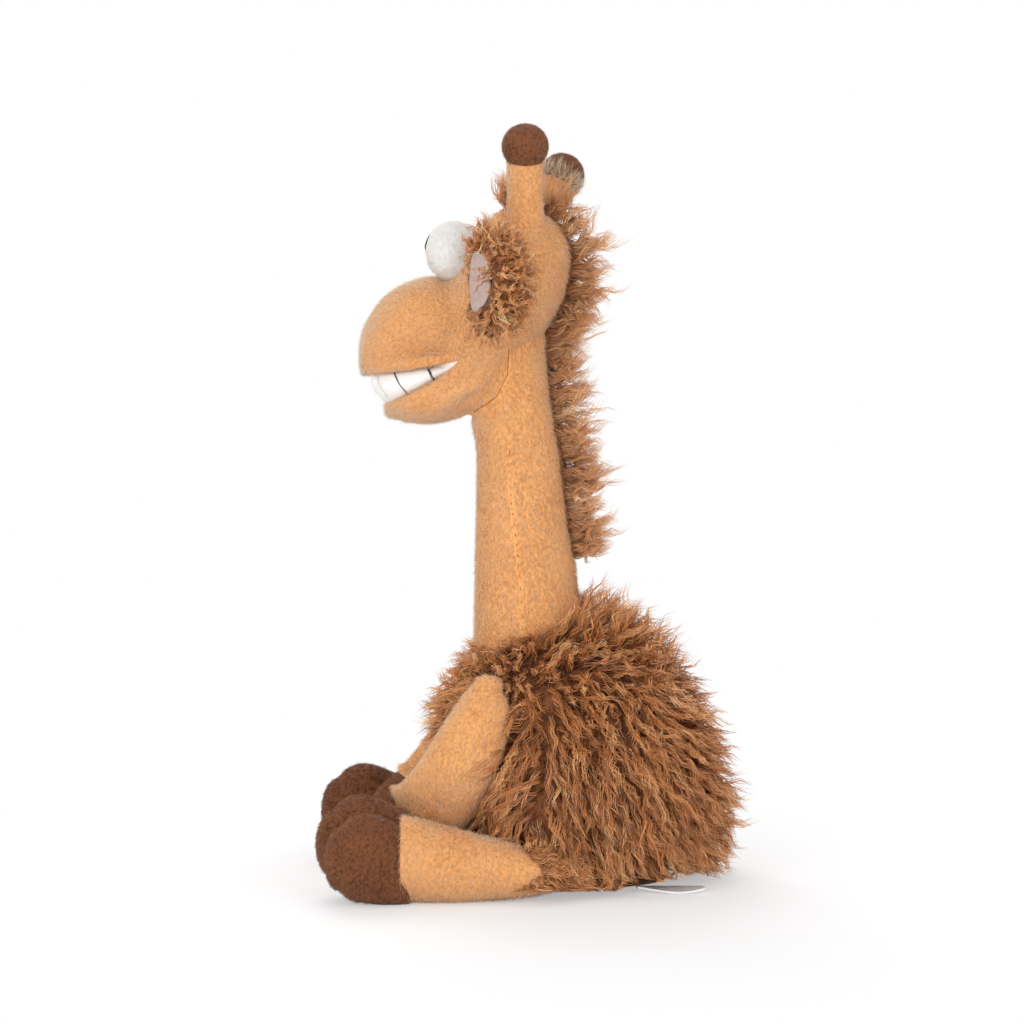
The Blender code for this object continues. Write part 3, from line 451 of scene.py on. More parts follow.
NECK = [(0, -60.9, 122.1, -3.9, 143.1, 28), (0, -61.4, 134, -6.9, 155, 26.9), (0, -60.9, 165, -8.9, 172.1, 25.5),
        (0, -60.4, 190.1, -12.4, 193.1, 24.6), (0, -59.9, 225.1, -16.4, 227.1, 23.5),
        (0, -62.5, 249, -20.4, 250, 23), (0, -59.9, 268, -22.9, 275.1, 21), (0, -57.9, 283.1, -23.5, 289, 19)]
head = stuffed(HEAD, [(0, -61.9, 251.1), (0, -39.9, 358)])
muzzle = stuffed(MUZZLE, [(0, -45, 297.1), (0, -122.2, 281.1)])
jaw = stuffed(JAW, [(0, -53.9, 260.6), (0, -109.5, 252.6)])
neck = stuffed(NECK, [(0, -31.2, 123.5), (0, -40.5, 299.8)], sides=64, steps=6)
nape = stuffed([(x, y - 0.4, z, v + 0.4, w, half + 0.4) for x, y, z, v, w, half in
                [(0, -61.3, 238, -18.4, 238.5, 23.2), *NECK[5:]]], [(0, -41, 246), (0, -40.5, 299.8)])


def along(stops, count=14):
    """Points spread evenly along a line through its stops."""
    stops = np.array(stops, float)
    at = np.linspace(0, len(stops) - 1, count)
    return np.stack([np.interp(at, np.arange(len(stops)), values) for values in stops.T], 1)


def rolled(path, radius):
    """A round roll along a path, in millimetres: rings square to the path, whose radius swells from half at
    both ends by a sine."""
    path = along(path, 8 * len(path))
    ahead = unit(np.gradient(path, axis=0))
    first = unit(np.cross(ahead, (0, 0, 1.0)))
    wide = radius * (0.55 + 0.45 * np.sin(np.linspace(0, np.pi, len(path))) ** 0.5)
    grid = path[:, None] + wide[:, None, None] * circle(first, np.cross(ahead, first), 20)
    return Shape(grid / 1000, path[[0, -1]] / 1000)


def mirrored(path):
    """A path that goes on to the other side of the middle plane."""
    return path + [(-x, y, z) for x, y, z in path[:-1][::-1]]


lip = rolled(mirrored([(29.0, -61, 277), (29.8, -68.1, 272.7), (29.7, -74.1, 266.3), (29.2, -80.6, 262.3),
                       (27.8, -87.5, 258.2), (25, -93.5, 255.4), (20.5, -98.8, 253.4), (14.5, -102.4, 252),
                       (7, -104.2, 251.2), (0, -104.6, 251)]), 4.6)
under_lip = rolled(mirrored([(26, -57, 268), (26.5, -67, 264), (25.5, -75, 259.5), (23, -83, 256.5), (19, -90, 254),
                             (12, -95, 252.6), (0, -97, 252)]), 7.5)
upper_lip = rolled(mirrored([(27.5, -68, 279), (28.5, -74, 277.9), (29.5, -79.3, 276.9), (30, -85.8, 276.0),
                             (29.5, -95, 274.6), (26, -105.4, 273.6), (19, -113, 273.4), (10, -117.5, 274),
                             (0, -118.5, 274.3)]), 3.7)
head_cover = fused("head_cover", [head, muzzle, jaw, nape, lip, under_lip, upper_lip], 0.0014, 9, tan_backing)
padded(head_cover, 0.95, "head", "muzzle", "lower_jaw")


def to_nose(root):
    """The nap of the head: forward on the muzzle and backward behind the cheek, and down everywhere."""
    return np.stack([0 * root[:, 0], ((root[:, 1] + 0.052) / 0.03).clip(-1, 1), 0 * root[:, 0] - 0.75], 1)


def face_tone_and_painted_light(root):
    """Tone that differs at random, and paler in places: on top of the muzzle and at its front, a painted sheen;
    on the chin; and a little on the cheek, painted light where the ear shades it.
    """
    y, z = root[:, 1], root[:, 2]
    # Painted sheen: the top and the front of the muzzle are made paler.
    top = ((z - 0.300) / 0.018).clip(0, 1) * (y < -0.06)
    front = ((-0.104 - y) / 0.015).clip(0, 1)
    chin = ((0.262 - z) / 0.012).clip(0, 1) * ((-0.070 - y) / 0.02).clip(0, 1)
    # Painted light: the cheek, which the ear shades, is made a little paler.
    cheek = ((0.300 - z) / 0.02).clip(0, 1) * (1 - np.abs(y + 0.066) / 0.026).clip(0, 1)
    return 0.58 + 0.12 * uneven(root, 0.03, 7) + 0.4 * np.maximum(np.maximum(top, front), chin) + 0.25 * cheek


# Teeth: one padded band of white plush, sewn into the mouth between the upper lip and the jaw and stitched through
# with black thread between the teeth. A wedge of the same white fills each corner of the mouth.
TEETH = [(0, -76.2, 278.1, -77.2, 263.1, 27.3), (0, -88.9, 277.1, -90.9, 257.1, 31.2),
         (0, -100.9, 276.1, -101.9, 253.1, 29.4), (0, -109.4, 274.1, -108.9, 254.1, 24.9),
         (0, -114.4, 272.1, -113.4, 258.6, 17.9)]
teeth = stuffed(TEETH, [(0, -69.9, 271.1), (0, -117, 266.6)], steps=12, sides=96)


def grained(name, slot, size, detail, dark, light, rough, depth=None, stops=(0.3, 0.7), **more):
    """A plain cloth or thread, whose colour goes from dark to light with its grain. The grain is its bump too,
    if a depth is given."""
    cloth = Cloth(name, slot)
    grain = cloth.grain(size, detail)
    colour = cloth.ramp(grain, *zip(stops, (dye(*dark), dye(*light))))
    return cloth.finish(colour, rough, bump=grain if depth else None, depth=depth, **more)


white_band = grained("white_band", "white_plush", 0.8, 3, (222, 218, 213), (232, 229, 225), 0.8, 0.00025,
                     stops=(0.3, 0.6), Sheen_Weight=0.2)
black_thread = grained("black_thread", "black_felt", 0.5, 2, (14, 13, 14), (40, 38, 38), 0.6, 0.0001)
# Painted shade: a grey line laid along the band's fold, for the shade in the crease.
painted_fold_shade = grained("painted_fold_shade", "white_plush", 0.5, 2, (196, 192, 188), (214, 211, 208), 0.8)
seam_thread = grained("seam_thread", "tan_plush", 0.8, 2, (120, 70, 36), (176, 112, 62), 0.9, stops=(0.35, 0.65))
padded(skin("teeth_band", teeth, white_band), 0.8, "teeth")


def run_along(name, paths, thick, cloth):
    """Threads, or a grey line of painted shade, along paths of the same number of points, of one thickness in
    millimetres.
    """
    radius = np.full(paths.shape[:2], thick / 2000)
    radius[:, [0, -1]] *= 0.5
    hairs(name, paths, radius, np.full(len(paths), TONES // 2), cloth)


def on_side(points, line, side):
    """A line given by its Y and Z in millimetres, laid on the outside of a skin: X is the mean of its four
    nearest points, seen from the side, by one over the square of their distance."""
    line, points = np.array(line, float) / 1000, points[points[:, 0] * side > 0]
    gap = np.hypot(line[:, 0, None] - points[:, 1], line[:, 1, None] - points[:, 2])
    near = np.argpartition(gap, 4, axis=1)[:, :4]
    weight = 1 / (np.take_along_axis(gap, near, 1) + 0.0001) ** 2
    return np.stack([(weight * points[near, 0]).sum(1) / weight.sum(1), line[:, 0], line[:, 1]], 1)


def slab(front, step):
    """A thin slab, from the grid of its face and the step from there to its back."""
    grid = np.concatenate([front, (front + np.array(step))[:, ::-1]], 1)
    return Shape(grid, [grid[0].mean(0), grid[-1].mean(0)])


band, outside = teeth.grid.reshape(-1, 3), read(head_cover.data.vertices, "co", 3)
wedges, rows, columns = [], 26, 12
SIDES = {"left": 1, "right": -1}
for name, side in SIDES.items():
    lower = along([(-83.5, 265.6), (-76.7, 270.0), (-69.6, 275.5)], rows)
    upper = along([(-83.5, 273.6), (-76.7, 274.3), (-69.6, 275.9)], rows)
    patch = (lower[:, None] + (upper - lower)[:, None] * np.linspace(0, 1, columns)[:, None]).reshape(-1, 2)
    face, under = on_side(outside, patch, side), on_side(band, patch, side)
    puff = np.outer(np.linspace(1, 0.3, rows), np.sin(np.linspace(0, np.pi, columns))).ravel()
    face[:, 0] = side * (np.maximum(face[:, 0] * side, under[:, 0] * side) + 0.0002 + 0.0008 * puff)
    wedges.append(face)
    skin(name + "_teeth_corner", slab(face.reshape(rows, columns, 3), (-side * 0.0012, 0, 0)), white_band)
thin_line = along([(-103.6, 271.5), (-102.9, 268.9), (-100.3, 263.5), (-96.4, 259), (-93.5, 256.3)])
thick_line = along([(-87, 274.5), (-84.3, 269.5), (-81.8, 264.5)])
# The band's fold, where a grey line is painted shade in the crease.
fold_line = along([(-112.4, 270.5), (-111.6, 264.5), (-106.6, 256.8)])
for name, line, thick, thread in (("teeth_stitch_front", thin_line, 1.3, black_thread),
                                  ("teeth_stitch_rear", thick_line, 2.1, black_thread),
                                  ("teeth_fold_painted_shade", fold_line, 0.8, painted_fold_shade)):
    run_along(name, np.array([on_side(band, line, side) for side in SIDES.values()]), thick, thread)
cheek_line = along([(-43.4, 283), (-44, 269), (-50, 257), (-62.7, 249)], 30)
cheek_lines = [on_side(outside, cheek_line, side) for side in SIDES.values()]
run_along("cheek_seam", np.array(cheek_lines), 0.7, seam_thread)

# Eyes: two balls of white needled felt, sewn on side by side above the muzzle. Each has a pupil of black felt, a
# thin domed disc fixed to its front.
EYES = {"left": (16, -72.97, 334.07), "right": (-16, -68.97, 336.01)}


def turned(profile, root, axis, sides=48):
    """A turned shape: a profile of (place along the axis, radius), in millimetres, carried round an axis."""
    axis = unit(np.array(axis, float))
    first, profile = unit(np.cross(axis, (0.3, 0.9, 0.1))), np.array(profile, float)
    ring = circle(first, np.cross(axis, first), sides)
    grid = np.array(root) + profile[1:-1, 0, None, None] * axis + profile[1:-1, 1, None, None] * ring
    return Shape(grid / 1000, np.array(root) / 1000 + profile[[0, -1], :1] * axis / 1000)


def globe(radius):
    """The profile of a ball: the cosine along the axis, the sine across it."""
    angle = np.linspace(np.pi, 0, 28)
    return radius * np.stack([np.cos(angle), np.sin(angle)], 1)


white_felt = Cloth("white_felt", "white_felt")
matted = white_felt.grain(1.2, 4)
white_felt.finish(white_felt.ramp(matted + 0.3 * white_felt.grain(5), (0.45, dye(208, 205, 201)),
                                  (0.8, dye(222, 220, 217))), 0.9, bump=matted, depth=0.0003, Sheen_Weight=0.3)
white_fluff = tuft("white_fluff", "white_felt", {0: (206, 203, 199), 1: (222, 220, 217)}, (0.92, 0.92, 0.92))
black_felt = grained("black_felt", "black_felt", 0.8, 3, (14, 14, 15), (38, 37, 38), 0.85, 0.0003, Sheen_Weight=0.2)
balls = []
for side, middle in EYES.items():
    sign, middle = SIDES[side], np.array(middle)
    ball = turned(globe(15), middle, (0, 0, 1))
    ball.grid = (ball.grid - middle / 1000) * (1, 0.955, 1.04) + middle / 1000
    ball.grid += ball.out * 0.00018 * uneven(ball.grid, 0.009, 3)[..., None]
    balls.append(ball)
    eye = padded(skin(side + "_eye", ball, white_felt), 1.0, side + "_eyeball")
    pile(eye, lambda root: np.stack([uneven(root, 0.01, n) for n in range(3)], 1), [head, muzzle], white_fluff,
         lambda root: 0.5, 31, length=2.2, lean=0.1, thick=0.07)
    gaze = unit(np.array([-sign * np.sin(radians(10)), -np.cos(radians(10)), np.tan(radians(21))]))
    dome = [(-2.0, 0), (-2.0, 3.6), (-0.9, 4.4), (-0.5, 4.5), (-0.1, 4.3), (0.2, 3.6), (0.45, 2.4), (0.55, 1.2),
            (0.57, 0)]
    disc = turned(dome, middle + gaze * 14.3, gaze, 32)
    padded(skin(side + "_pupil_disc", disc, black_felt), 0.9, side + "_pupil")

head_foot, neck_top = 0.2382, 0.2402
pile(head_cover, to_nose, [teeth, *balls], tan_pile, face_tone_and_painted_light, 11, seams=cheek_lines + wedges,
     where=lambda root: root[:, 2] > head_foot)

# Horns: tan plush tubes with a seam up the side, each topped by a brown plush ball. The right one leans back
# and has longer, paler hair, which also stands over its ball.
HORNS = {"left": ((19.04, -34.89, 341.09), (0.4067, 0, 0.9135), 49.4),
         "right": ((-19.04, -34.89, 341.09), (-0.3624, 0.435, 0.814), 47.2)}
TUBE = [(-9, 0), (-9, 10), (-7, 13.4), (-4, 13.8), (-1, 12.6), (2, 11.4), (6, 10.3), (11, 9.7), (18, 9.4), (26, 9.2),
        (34, 9.2), (38, 9.2), (42, 9.0), (45, 7), (46, 0)]
brown_backing = backing("brown_backing", "brown_plush", (74, 42, 24), (118, 72, 44), 0.9, sheen=0.1)
brown_pile = tuft("brown_pile", "brown_plush", {0: (96, 56, 32), 0.4: (146, 92, 56), 0.7: (178, 116, 74),
                                                1: (222, 160, 112)}, (0.62, 0.53, 0.44), sheen=0.05, specular=0.1)
pale_pile = tuft("pale_pile", "tan_plush", {0: (208, 158, 108), 0.35: (228, 184, 138), 0.65: (238, 204, 162),
                                            1: (250, 226, 194)}, (0.88, 0.76, 0.62), sheen=0.35)
cream_pile = tuft("cream_pile", "tan_plush", {0: (216, 186, 152), 0.5: (232, 206, 176), 1: (246, 230, 208)},
                  (0.86, 0.78, 0.68), sheen=0.3)
down = (0, 0, -1.0)
for side, (root, lean, reach) in HORNS.items():
    sign, hair, long = (1, pale_pile, 2.2) if side == "left" else (-1, cream_pile, 5)
    root, lean = np.array(root), unit(np.array(lean))
    middle = root + reach * lean
    tube, top = turned(TUBE, root, lean), turned(globe(12.0) * (0.965, 1), middle, lean)
    horn = padded(skin(side + "_horn_tube", tube, tan_backing), 0.9, side + "_horn")
    knob = padded(skin(side + "_horn_knob", top, brown_backing), 1.0, side + "_horn_ball")
    seam = np.linspace(8, 37, 40)[:, None] * lean + root + sign * 9.35 * unit(np.cross(lean, (0, 1.0, 0)))
    seam /= 1000
    pile(horn, lambda root: 0.35 * np.sign(root[:, 1:2] - seam[0, 1]) * np.array([0, 1.0, 0]) - lean, [head, top],
         hair, lambda root: 0.5 + 0.15 * uneven(root, 0.02, 5), 41, per_mm2=1.5, length=long, seams=[seam], thick=0.12)
    pile(knob, down, [tube], brown_pile, lambda root: 0.62 + 0.12 * uneven(root, 0.02, 6), 43, per_mm2=1.5, length=1.6,
         thick=0.12)
    if side == "right":
        fringe = pile(knob, lean, [], cream_pile, lambda root: 0.6 + 0.1 * uneven(root, 0.01, 5), 47, per_mm2=2.4,
                      length=5.5, lean=0.2, thick=0.11,
                      where=lambda root: (root - middle / 1000) @ lean < 0.003 * uneven(root, 0.008, 9) - 0.002)
        fringe.name = "right_horn_fringe"

# Neck: a tall tube of tan plush, firmly stuffed and seamed up each side. It is sewn to the head at its top and
# into the fur of the body at its foot.
BODY = [(0, -60, 0, 56, 0, 48.3), (0, -70.1, 4, 64, 4, 56.1), (0, -79, 12, 71, 12, 63.2),
        (0, -85, 24, 76, 24, 66.7), (0, -89.9, 42, 76, 42, 70.3), (0, -92, 63, 72.5, 61.9, 71),
        (0, -89.9, 84, 67, 84, 68.9), (0, -83, 101, 57, 103, 63.2), (0, -75, 115, 44, 121.1, 55.4),
        (0, -67, 126, 28, 136.9, 43.3), (0, -61.4, 132, -5, 153, 27.7)]
body = stuffed(BODY, [(0, -4, -0.1), (0, -33.9, 148)], sides=96, steps=5)
cover = body.grown(-0.013)
neck_cover = padded(skin("neck_cover", neck, tan_backing), 0.95, "neck")
seam_stops = along([(-43.8, 266), (-42.7, 219), (-42.2, 203.5), (-39.6, 182.6), (-37.5, 161.7), (-35.9, 134.5),
                    (-35.5, 128)], 140)
neck_lines = [on_side(neck.grid.reshape(-1, 3), seam_stops, side) for side in SIDES.values()]
every_other_stitch = np.array(neck_lines)[:, :135].reshape(-1, 3, 3)[::2]
run_along("neck_stitches", every_other_stitch, 0.7, seam_thread)
pile(neck_cover, down, [head, jaw], tan_pile, lambda root: 0.5 + 0.12 * uneven(root, 0.028, 8), 51,
     seams=[line[::2] for line in neck_lines], where=lambda root: root[:, 2] < neck_top)

# Arms: slim tan plush limbs, softly stuffed and sewn on at a pointed shoulder. Each has a brown plush hoof for a
# hand, sewn round the end of the sleeve.
ARM = [(50.2, -61, 109.6, -47.1, 106.1, 7.6), (53.5, -67.5, 102, -43.6, 96, 10.5),
       (57.8, -78, 86.9, -46, 77.1, 12.5), (56.7, -88.5, 70, -53.6, 58, 13.4), (45, -99.5, 56, -62, 41.5, 14.3),
       (37, -104.3, 53, -70.5, 27.5, 14.2), (31.5, -103.5, 37.5, -86, 12, 13.4)]
HAND = [(34.2, -104.9, 51, -71, 31.5, 13.2), (28.6, -113.6, 44.6, -78, 22, 14.2),
        (24.4, -119.6, 35.5, -87.4, 14, 13.4), (23.6, -121.6, 26, -98.6, 10.4, 10.6)]
limbs, along_arm = [], (0, -0.35, -0.9)
for side, sign in SIDES.items():
    own = side + "_arm"
    arm = stuffed(ARM, [(49.6, -52, 113.2), (30, -93, 27)], side=sign)
    hand = stuffed(HAND, [(36, -86, 43), (23.6, -116.5, 11.6)], side=sign)
    limbs += [arm, hand]
    sleeve = padded(skin(own + "_cover", arm, tan_backing, own), 0.85, own)
    mitt = padded(skin(side + "_hand_cover", hand, brown_backing, own), 0.85, side + "_hand")
    pile(sleeve, along_arm, [hand], tan_pile, lambda root: 0.6 + 0.12 * uneven(root, 0.03, 9), 61, own, per_mm2=1.1,
         length=3.3)
    pile(mitt, along_arm, [arm], brown_pile, lambda root: 0.45 + 0.14 * uneven(root, 0.02, 10), 63, own, per_mm2=1.3,
         length=2.3, lean=0.45, thick=0.11)

# Legs: tan plush limbs that lie on the floor, stuffed and sewn on at the edge of the seat. Each ends in a brown
# plush hoof of two stuffed toes with a cleft between them.
LEG = [(61.7, -23.9, 18.9, -23.9, 5.3, 9.9), (63.1, -37.9, 25.1, -37.9, 2.6, 15),
       (63.7, -55.9, 31, -55.9, 0.9, 18.1), (63.9, -75.9, 36, -75.9, -0.8, 19.6),
       (64, -93.9, 41, -93.9, -0.8, 21.1), (64.1, -103.4, 43.5, -103.4, -0.8, 21.5)]
OUTER_TOE = [(70.4, -100, 37.2, -100, -0.8, 13.2), (72.2, -110.8, 43, -110.8, -0.8, 14.5),
             (73.1, -121.3, 46.1, -121.3, 0.6, 15), (73.6, -129.5, 43.8, -129.5, 2.6, 14.1),
             (73.6, -135.0, 38.8, -135.0, 7.1, 11.4)]
INNER_TOE = [(57.8, -99.5, 42.8, -99.5, 3.2, 13.2), (56, -111.9, 49.4, -111.9, 3.2, 14.5),
             (55.1, -123.9, 53, -123.9, 3.6, 15), (54.7, -133.4, 50.6, -133.4, 6.0, 14.1),
             (54.7, -139.5, 44.6, -139.5, 11.1, 11.6)]
legs, along_leg, off_floor = [], (0, -0.4, -0.8), 0.0001
for side, sign, shift in (("left", 1, (1.17, 6, 0)), ("right", -1, (0, 0, 0))):
    own = side + "_leg"
    leg = stuffed(LEG, [(60.9, -15.9, 12.3), (64.1, -105.1, 21.1)], side=sign, shift=shift)
    leg.grid[..., 2] = np.maximum(leg.grid[..., 2], off_floor)
    toes = [stuffed(OUTER_TOE, [(69.5, -97.3, 18.6), (73.6, -142.4, 22)], side=sign, shift=shift),
            stuffed(INNER_TOE, [(58.7, -96.4, 21.4), (54.7, -148.4, 27)], side=sign, shift=shift)]
    limbs += [leg, *toes]
    legs.append(leg)
    trouser = padded(skin(own + "_cover", leg, tan_backing, own), 0.85, own)
    hoof = padded(fused(side + "_hoof_cover", toes, 0.0013, 3, brown_backing, own), 0.85, side + "_hoof")
    points = read(hoof.data.vertices, "co", 3)
    points[:, 2] = np.maximum(points[:, 2], off_floor)
    hoof.data.vertices.foreach_set("co", points.ravel())
    pile(trouser, along_leg, toes, tan_pile, lambda root: 0.68 + 0.12 * uneven(root, 0.03, 12), 71, own, per_mm2=1.1,
         length=3.3)
    # The right hoof, the far one, gets a lower tone and so is darker: painted shade.
    pile(hoof, along_leg, [leg], brown_pile, lambda root: 0.28 + 0.17 * sign + 0.16 * uneven(root, 0.02, 13), 73, own,
         per_mm2=1.3, length=2.3, lean=0.45, thick=0.11)

# Body: an upright egg of long curly brown fur over a filling of fibre, with a bag of pellets in the seat. The
# fur lies down and back on the flanks, and short fur covers the ends of the legs.
fur_backing = backing("fur_backing", "shaggy_fur", (92, 54, 30), (128, 80, 48), 1.2, sheen=0.1)
fur = tuft("fur", "shaggy_fur", {0: (136, 80, 40), 0.3: (200, 128, 70), 0.6: (234, 160, 94), 0.85: (252, 198, 132),
                                 1: (255, 222, 172)}, (0.54, 0.43, 0.32), shine=0.14, sheen=0.05, specular=0.8)
body_skin = padded(skin("body_fur_backing", cover, fur_backing), 0.9, "body_cover")


def locks(root, way, sag, length, seed, each, points, spread, wave, pitch, close, frizz, thick, loose=0.5):
    """Locks of hair. A lock's middle line leaves its root along way, sags by the square of its length, and
    winds as a helix that widens from the root, each of its hairs a little out of step by loose. The hairs start
    around the root, close on the middle line by the share given, and stray from it towards their tips."""
    rng, count = np.random.default_rng(seed), len(root)
    t = np.linspace(0, 1, points)
    first = unit(np.cross(way, unit(rng.normal(size=way.shape))))
    second = np.cross(way, first)
    reach = (length / 1000)[:, None, None]
    middle = reach * (t[:, None] * way[:, None] + (t ** 2)[:, None] * sag[:, None])
    start = rng.uniform(0, 6.28, (count, 1, 1)) + loose * rng.normal(size=(count, each, 1))
    phase = start + t * (length / pitch * 6.28)[:, None, None] * rng.choice([-1, 1], (count, 1, 1))
    wide = wave / 1000 * rng.uniform(0.5, 1.4, (count, 1, 1)) * np.sqrt(t)
    first, second = first[:, None, None], second[:, None, None]
    stem = middle[:, None] + (wide * np.cos(phase))[..., None] * first + (wide * np.sin(phase))[..., None] * second
    turn = rng.uniform(0, 6.28, (count, each, 1, 1))
    away = spread / 1000 * np.sqrt(rng.random((count, each, 1, 1)))
    around = away * (np.cos(turn) * first + np.sin(turn) * second)
    shut = (1 - close * t ** 0.8)[:, None]
    stray = frizz / 1000 * rng.normal(size=(count, each, 1, 3)) * (t ** 1.5)[:, None]
    long = rng.uniform(0.78, 1.06, (count, each, 1, 1))
    paths = root[:, None, None] + stem * long + around * shut + stray
    radius = thick / 1000 * rng.uniform(0.7, 1.3, (count, each, 1)) * (1 - 0.75 * t ** 2)
    return paths.reshape(-1, points, 3), radius.reshape(-1, points)


root, out = scatter(body_skin, 0.058, 81)
keep = (root[:, 2] > 0.004) & (neck.above(root)[0] > -0.001) & ~((out[:, 2] < -0.8) & (root[:, 2] < 0.02))
root, out = root[keep], out[keep]
on_body = len(root)
for leg in legs:
    spots = leg.grid.reshape(-1, 3)
    x, y, z = spots.T
    rear = (y > -0.0265 - 1.15 * np.abs(z - 0.0177)) & (y > -0.040) & (np.abs(x) > 0.052) & (z > 0.004)
    root = np.concatenate([root, spots[rear]])
    out = np.concatenate([out, leg.out.reshape(-1, 3)[rear]])
x, y, z = root.T
rng = np.random.default_rng(82)
at_leg = np.arange(len(root)) >= on_body
by_arm = (y > -0.050) & (y < -0.024) & (z > 0.042) & (z < 0.105) & (np.abs(x) > 0.045)
flank = np.abs(out[:, :1]) ** 1.5
high = ((z[:, None] - 0.095) / 0.04).clip(0, 1)
flow = (1 - high) * np.array([0, 0.35, -1.0]) + high * np.array([0, 0.9, 0.2])
for some, lie in ((out[:, 1] < -0.6, (0, -0.2, -0.6)), (by_arm, (0, -0.75, -0.8)), (at_leg, (0, 0.8, -0.35))):
    flow[some] = lie
flow -= out * (flow * out).sum(1, keepdims=True)
sway = np.stack([uneven(root, 0.018, n) for n in (21, 22, 23)], 1)
way = unit((1 - 0.45 * flank) * out + (0.35 + 0.5 * flank) * flow + 0.25 * sway + 0.2 * rng.normal(size=root.shape))
sag = np.array([0, 0, -0.22]) * (1 - high) + 0.16 * rng.normal(size=root.shape)
length = rng.uniform(16, 22, len(root)) + 7 * flank[:, 0]
length *= np.where(out[:, 1] < -0.45, np.where(z > 0.085, 0.85, 0.6), 1)
length *= 1 + 0.2 * high[:, 0] * (y > -0.02)
length = np.where(at_leg, rng.uniform(8, 12, len(root)), length)
under = np.zeros(len(root), bool)
for limb in limbs:
    for reach in (0.006, 0.012, 0.018):
        tip = root + way * reach
        under |= (limb.above(tip)[0] < -0.0005) & ((tip[:, 1] < -0.030) | (tip[:, 2] > 0.05))
under &= ~(by_arm | at_leg)
way = np.where(under[:, None], unit(0.35 * out + flow + 0.3 * rng.normal(size=root.shape)), way)
length = np.where(under, 12, length)
each, clearance, soft = 8, 0.0006, 0.005
paths, radius = locks(root, way, sag, length, 83, each, points=6, spread=2.1, wave=2.1, pitch=10.5, close=0.72,
                      frizz=0.7, thick=0.31)
tone = np.repeat(0.45 + 0.15 * uneven(root, 0.012, 24) + 0.1 * rng.normal(size=len(root)), each)
tone = TONES * (tone + 0.18 * rng.normal(size=len(tone)))
flat = paths.reshape(-1, 3)
for limb in limbs:
    height, away = limb.above(flat)
    flat = flat + away * np.maximum(clearance - height, 0)[:, None]
hem = np.interp(flat[:, 1], [0.008, 0.020, 0.058, 0.072], [0, 0.0075, 0.0085, 0.013]) * (flat[:, 0] > 0.02)
hem = np.maximum(hem, 0.2 * (np.abs(flat[:, 0]) - 0.045).clip(0)) + 0.0003
lifted = hem + soft * np.exp(((flat[:, 2] - hem) / soft - 1).clip(-9, 0))
flat[:, 2] = np.where(flat[:, 2] < hem + soft, lifted, flat[:, 2])
paths = flat.reshape(paths.shape)
share = np.array_split(np.argsort(np.arctan2(paths[:, 0, 0], paths[:, 0, 1] + 0.008), kind="stable"), 6)
for number, some in enumerate(share, 1):
    hairs(f"body_locks_{number}", paths[some], radius[some], tone[some], fur)

# Ears: a stuffed back of curly fur, which comes round the rim, and a hollow lined with smooth mauve plush. They
# are sewn to the sides of the head.
EAR = [(0, 9.1, -6.2, -9.1, -6.2, 6), (0, 14.9, 6, -14.9, 6, 9), (0, 22.1, 18, -22.1, 18, 12),
       (0, 24, 30, -24, 30, 12.5), (0, 20.2, 40, -20.2, 40, 10.5)]
curls = tuft("curls", "shaggy_fur", {0: (150, 84, 38), 0.35: (206, 128, 62), 0.7: (238, 166, 92),
                                     0.9: (253, 206, 138), 1: (255, 232, 188)}, (0.5, 0.39, 0.29), shine=0.12,
             sheen=0.05, specular=0.9)
lining_cloth = Cloth("lining_cloth", "lining_plush")
glitter = lining_cloth.grain(0.5, 1)
mauve = lining_cloth.ramp(lining_cloth.grain(1.5, 3), (0.3, dye(162, 136, 128)), (0.7, dye(196, 172, 164)))
lining_cloth.finish(mauve, 0.9 - 0.7 * glitter ** 3, bump=glitter, depth=0.0003, Sheen_Weight=0.2)


def ear_floor(y, z):
    """The bottom of the ear's hollow: a channel along the ear with steep walls, the fourth root of an ellipse."""
    return -0.0125 + 0.0085 * np.maximum(1 - (y / 0.0165) ** 2 - ((z - 0.024) / 0.036) ** 2, 0) ** 0.25


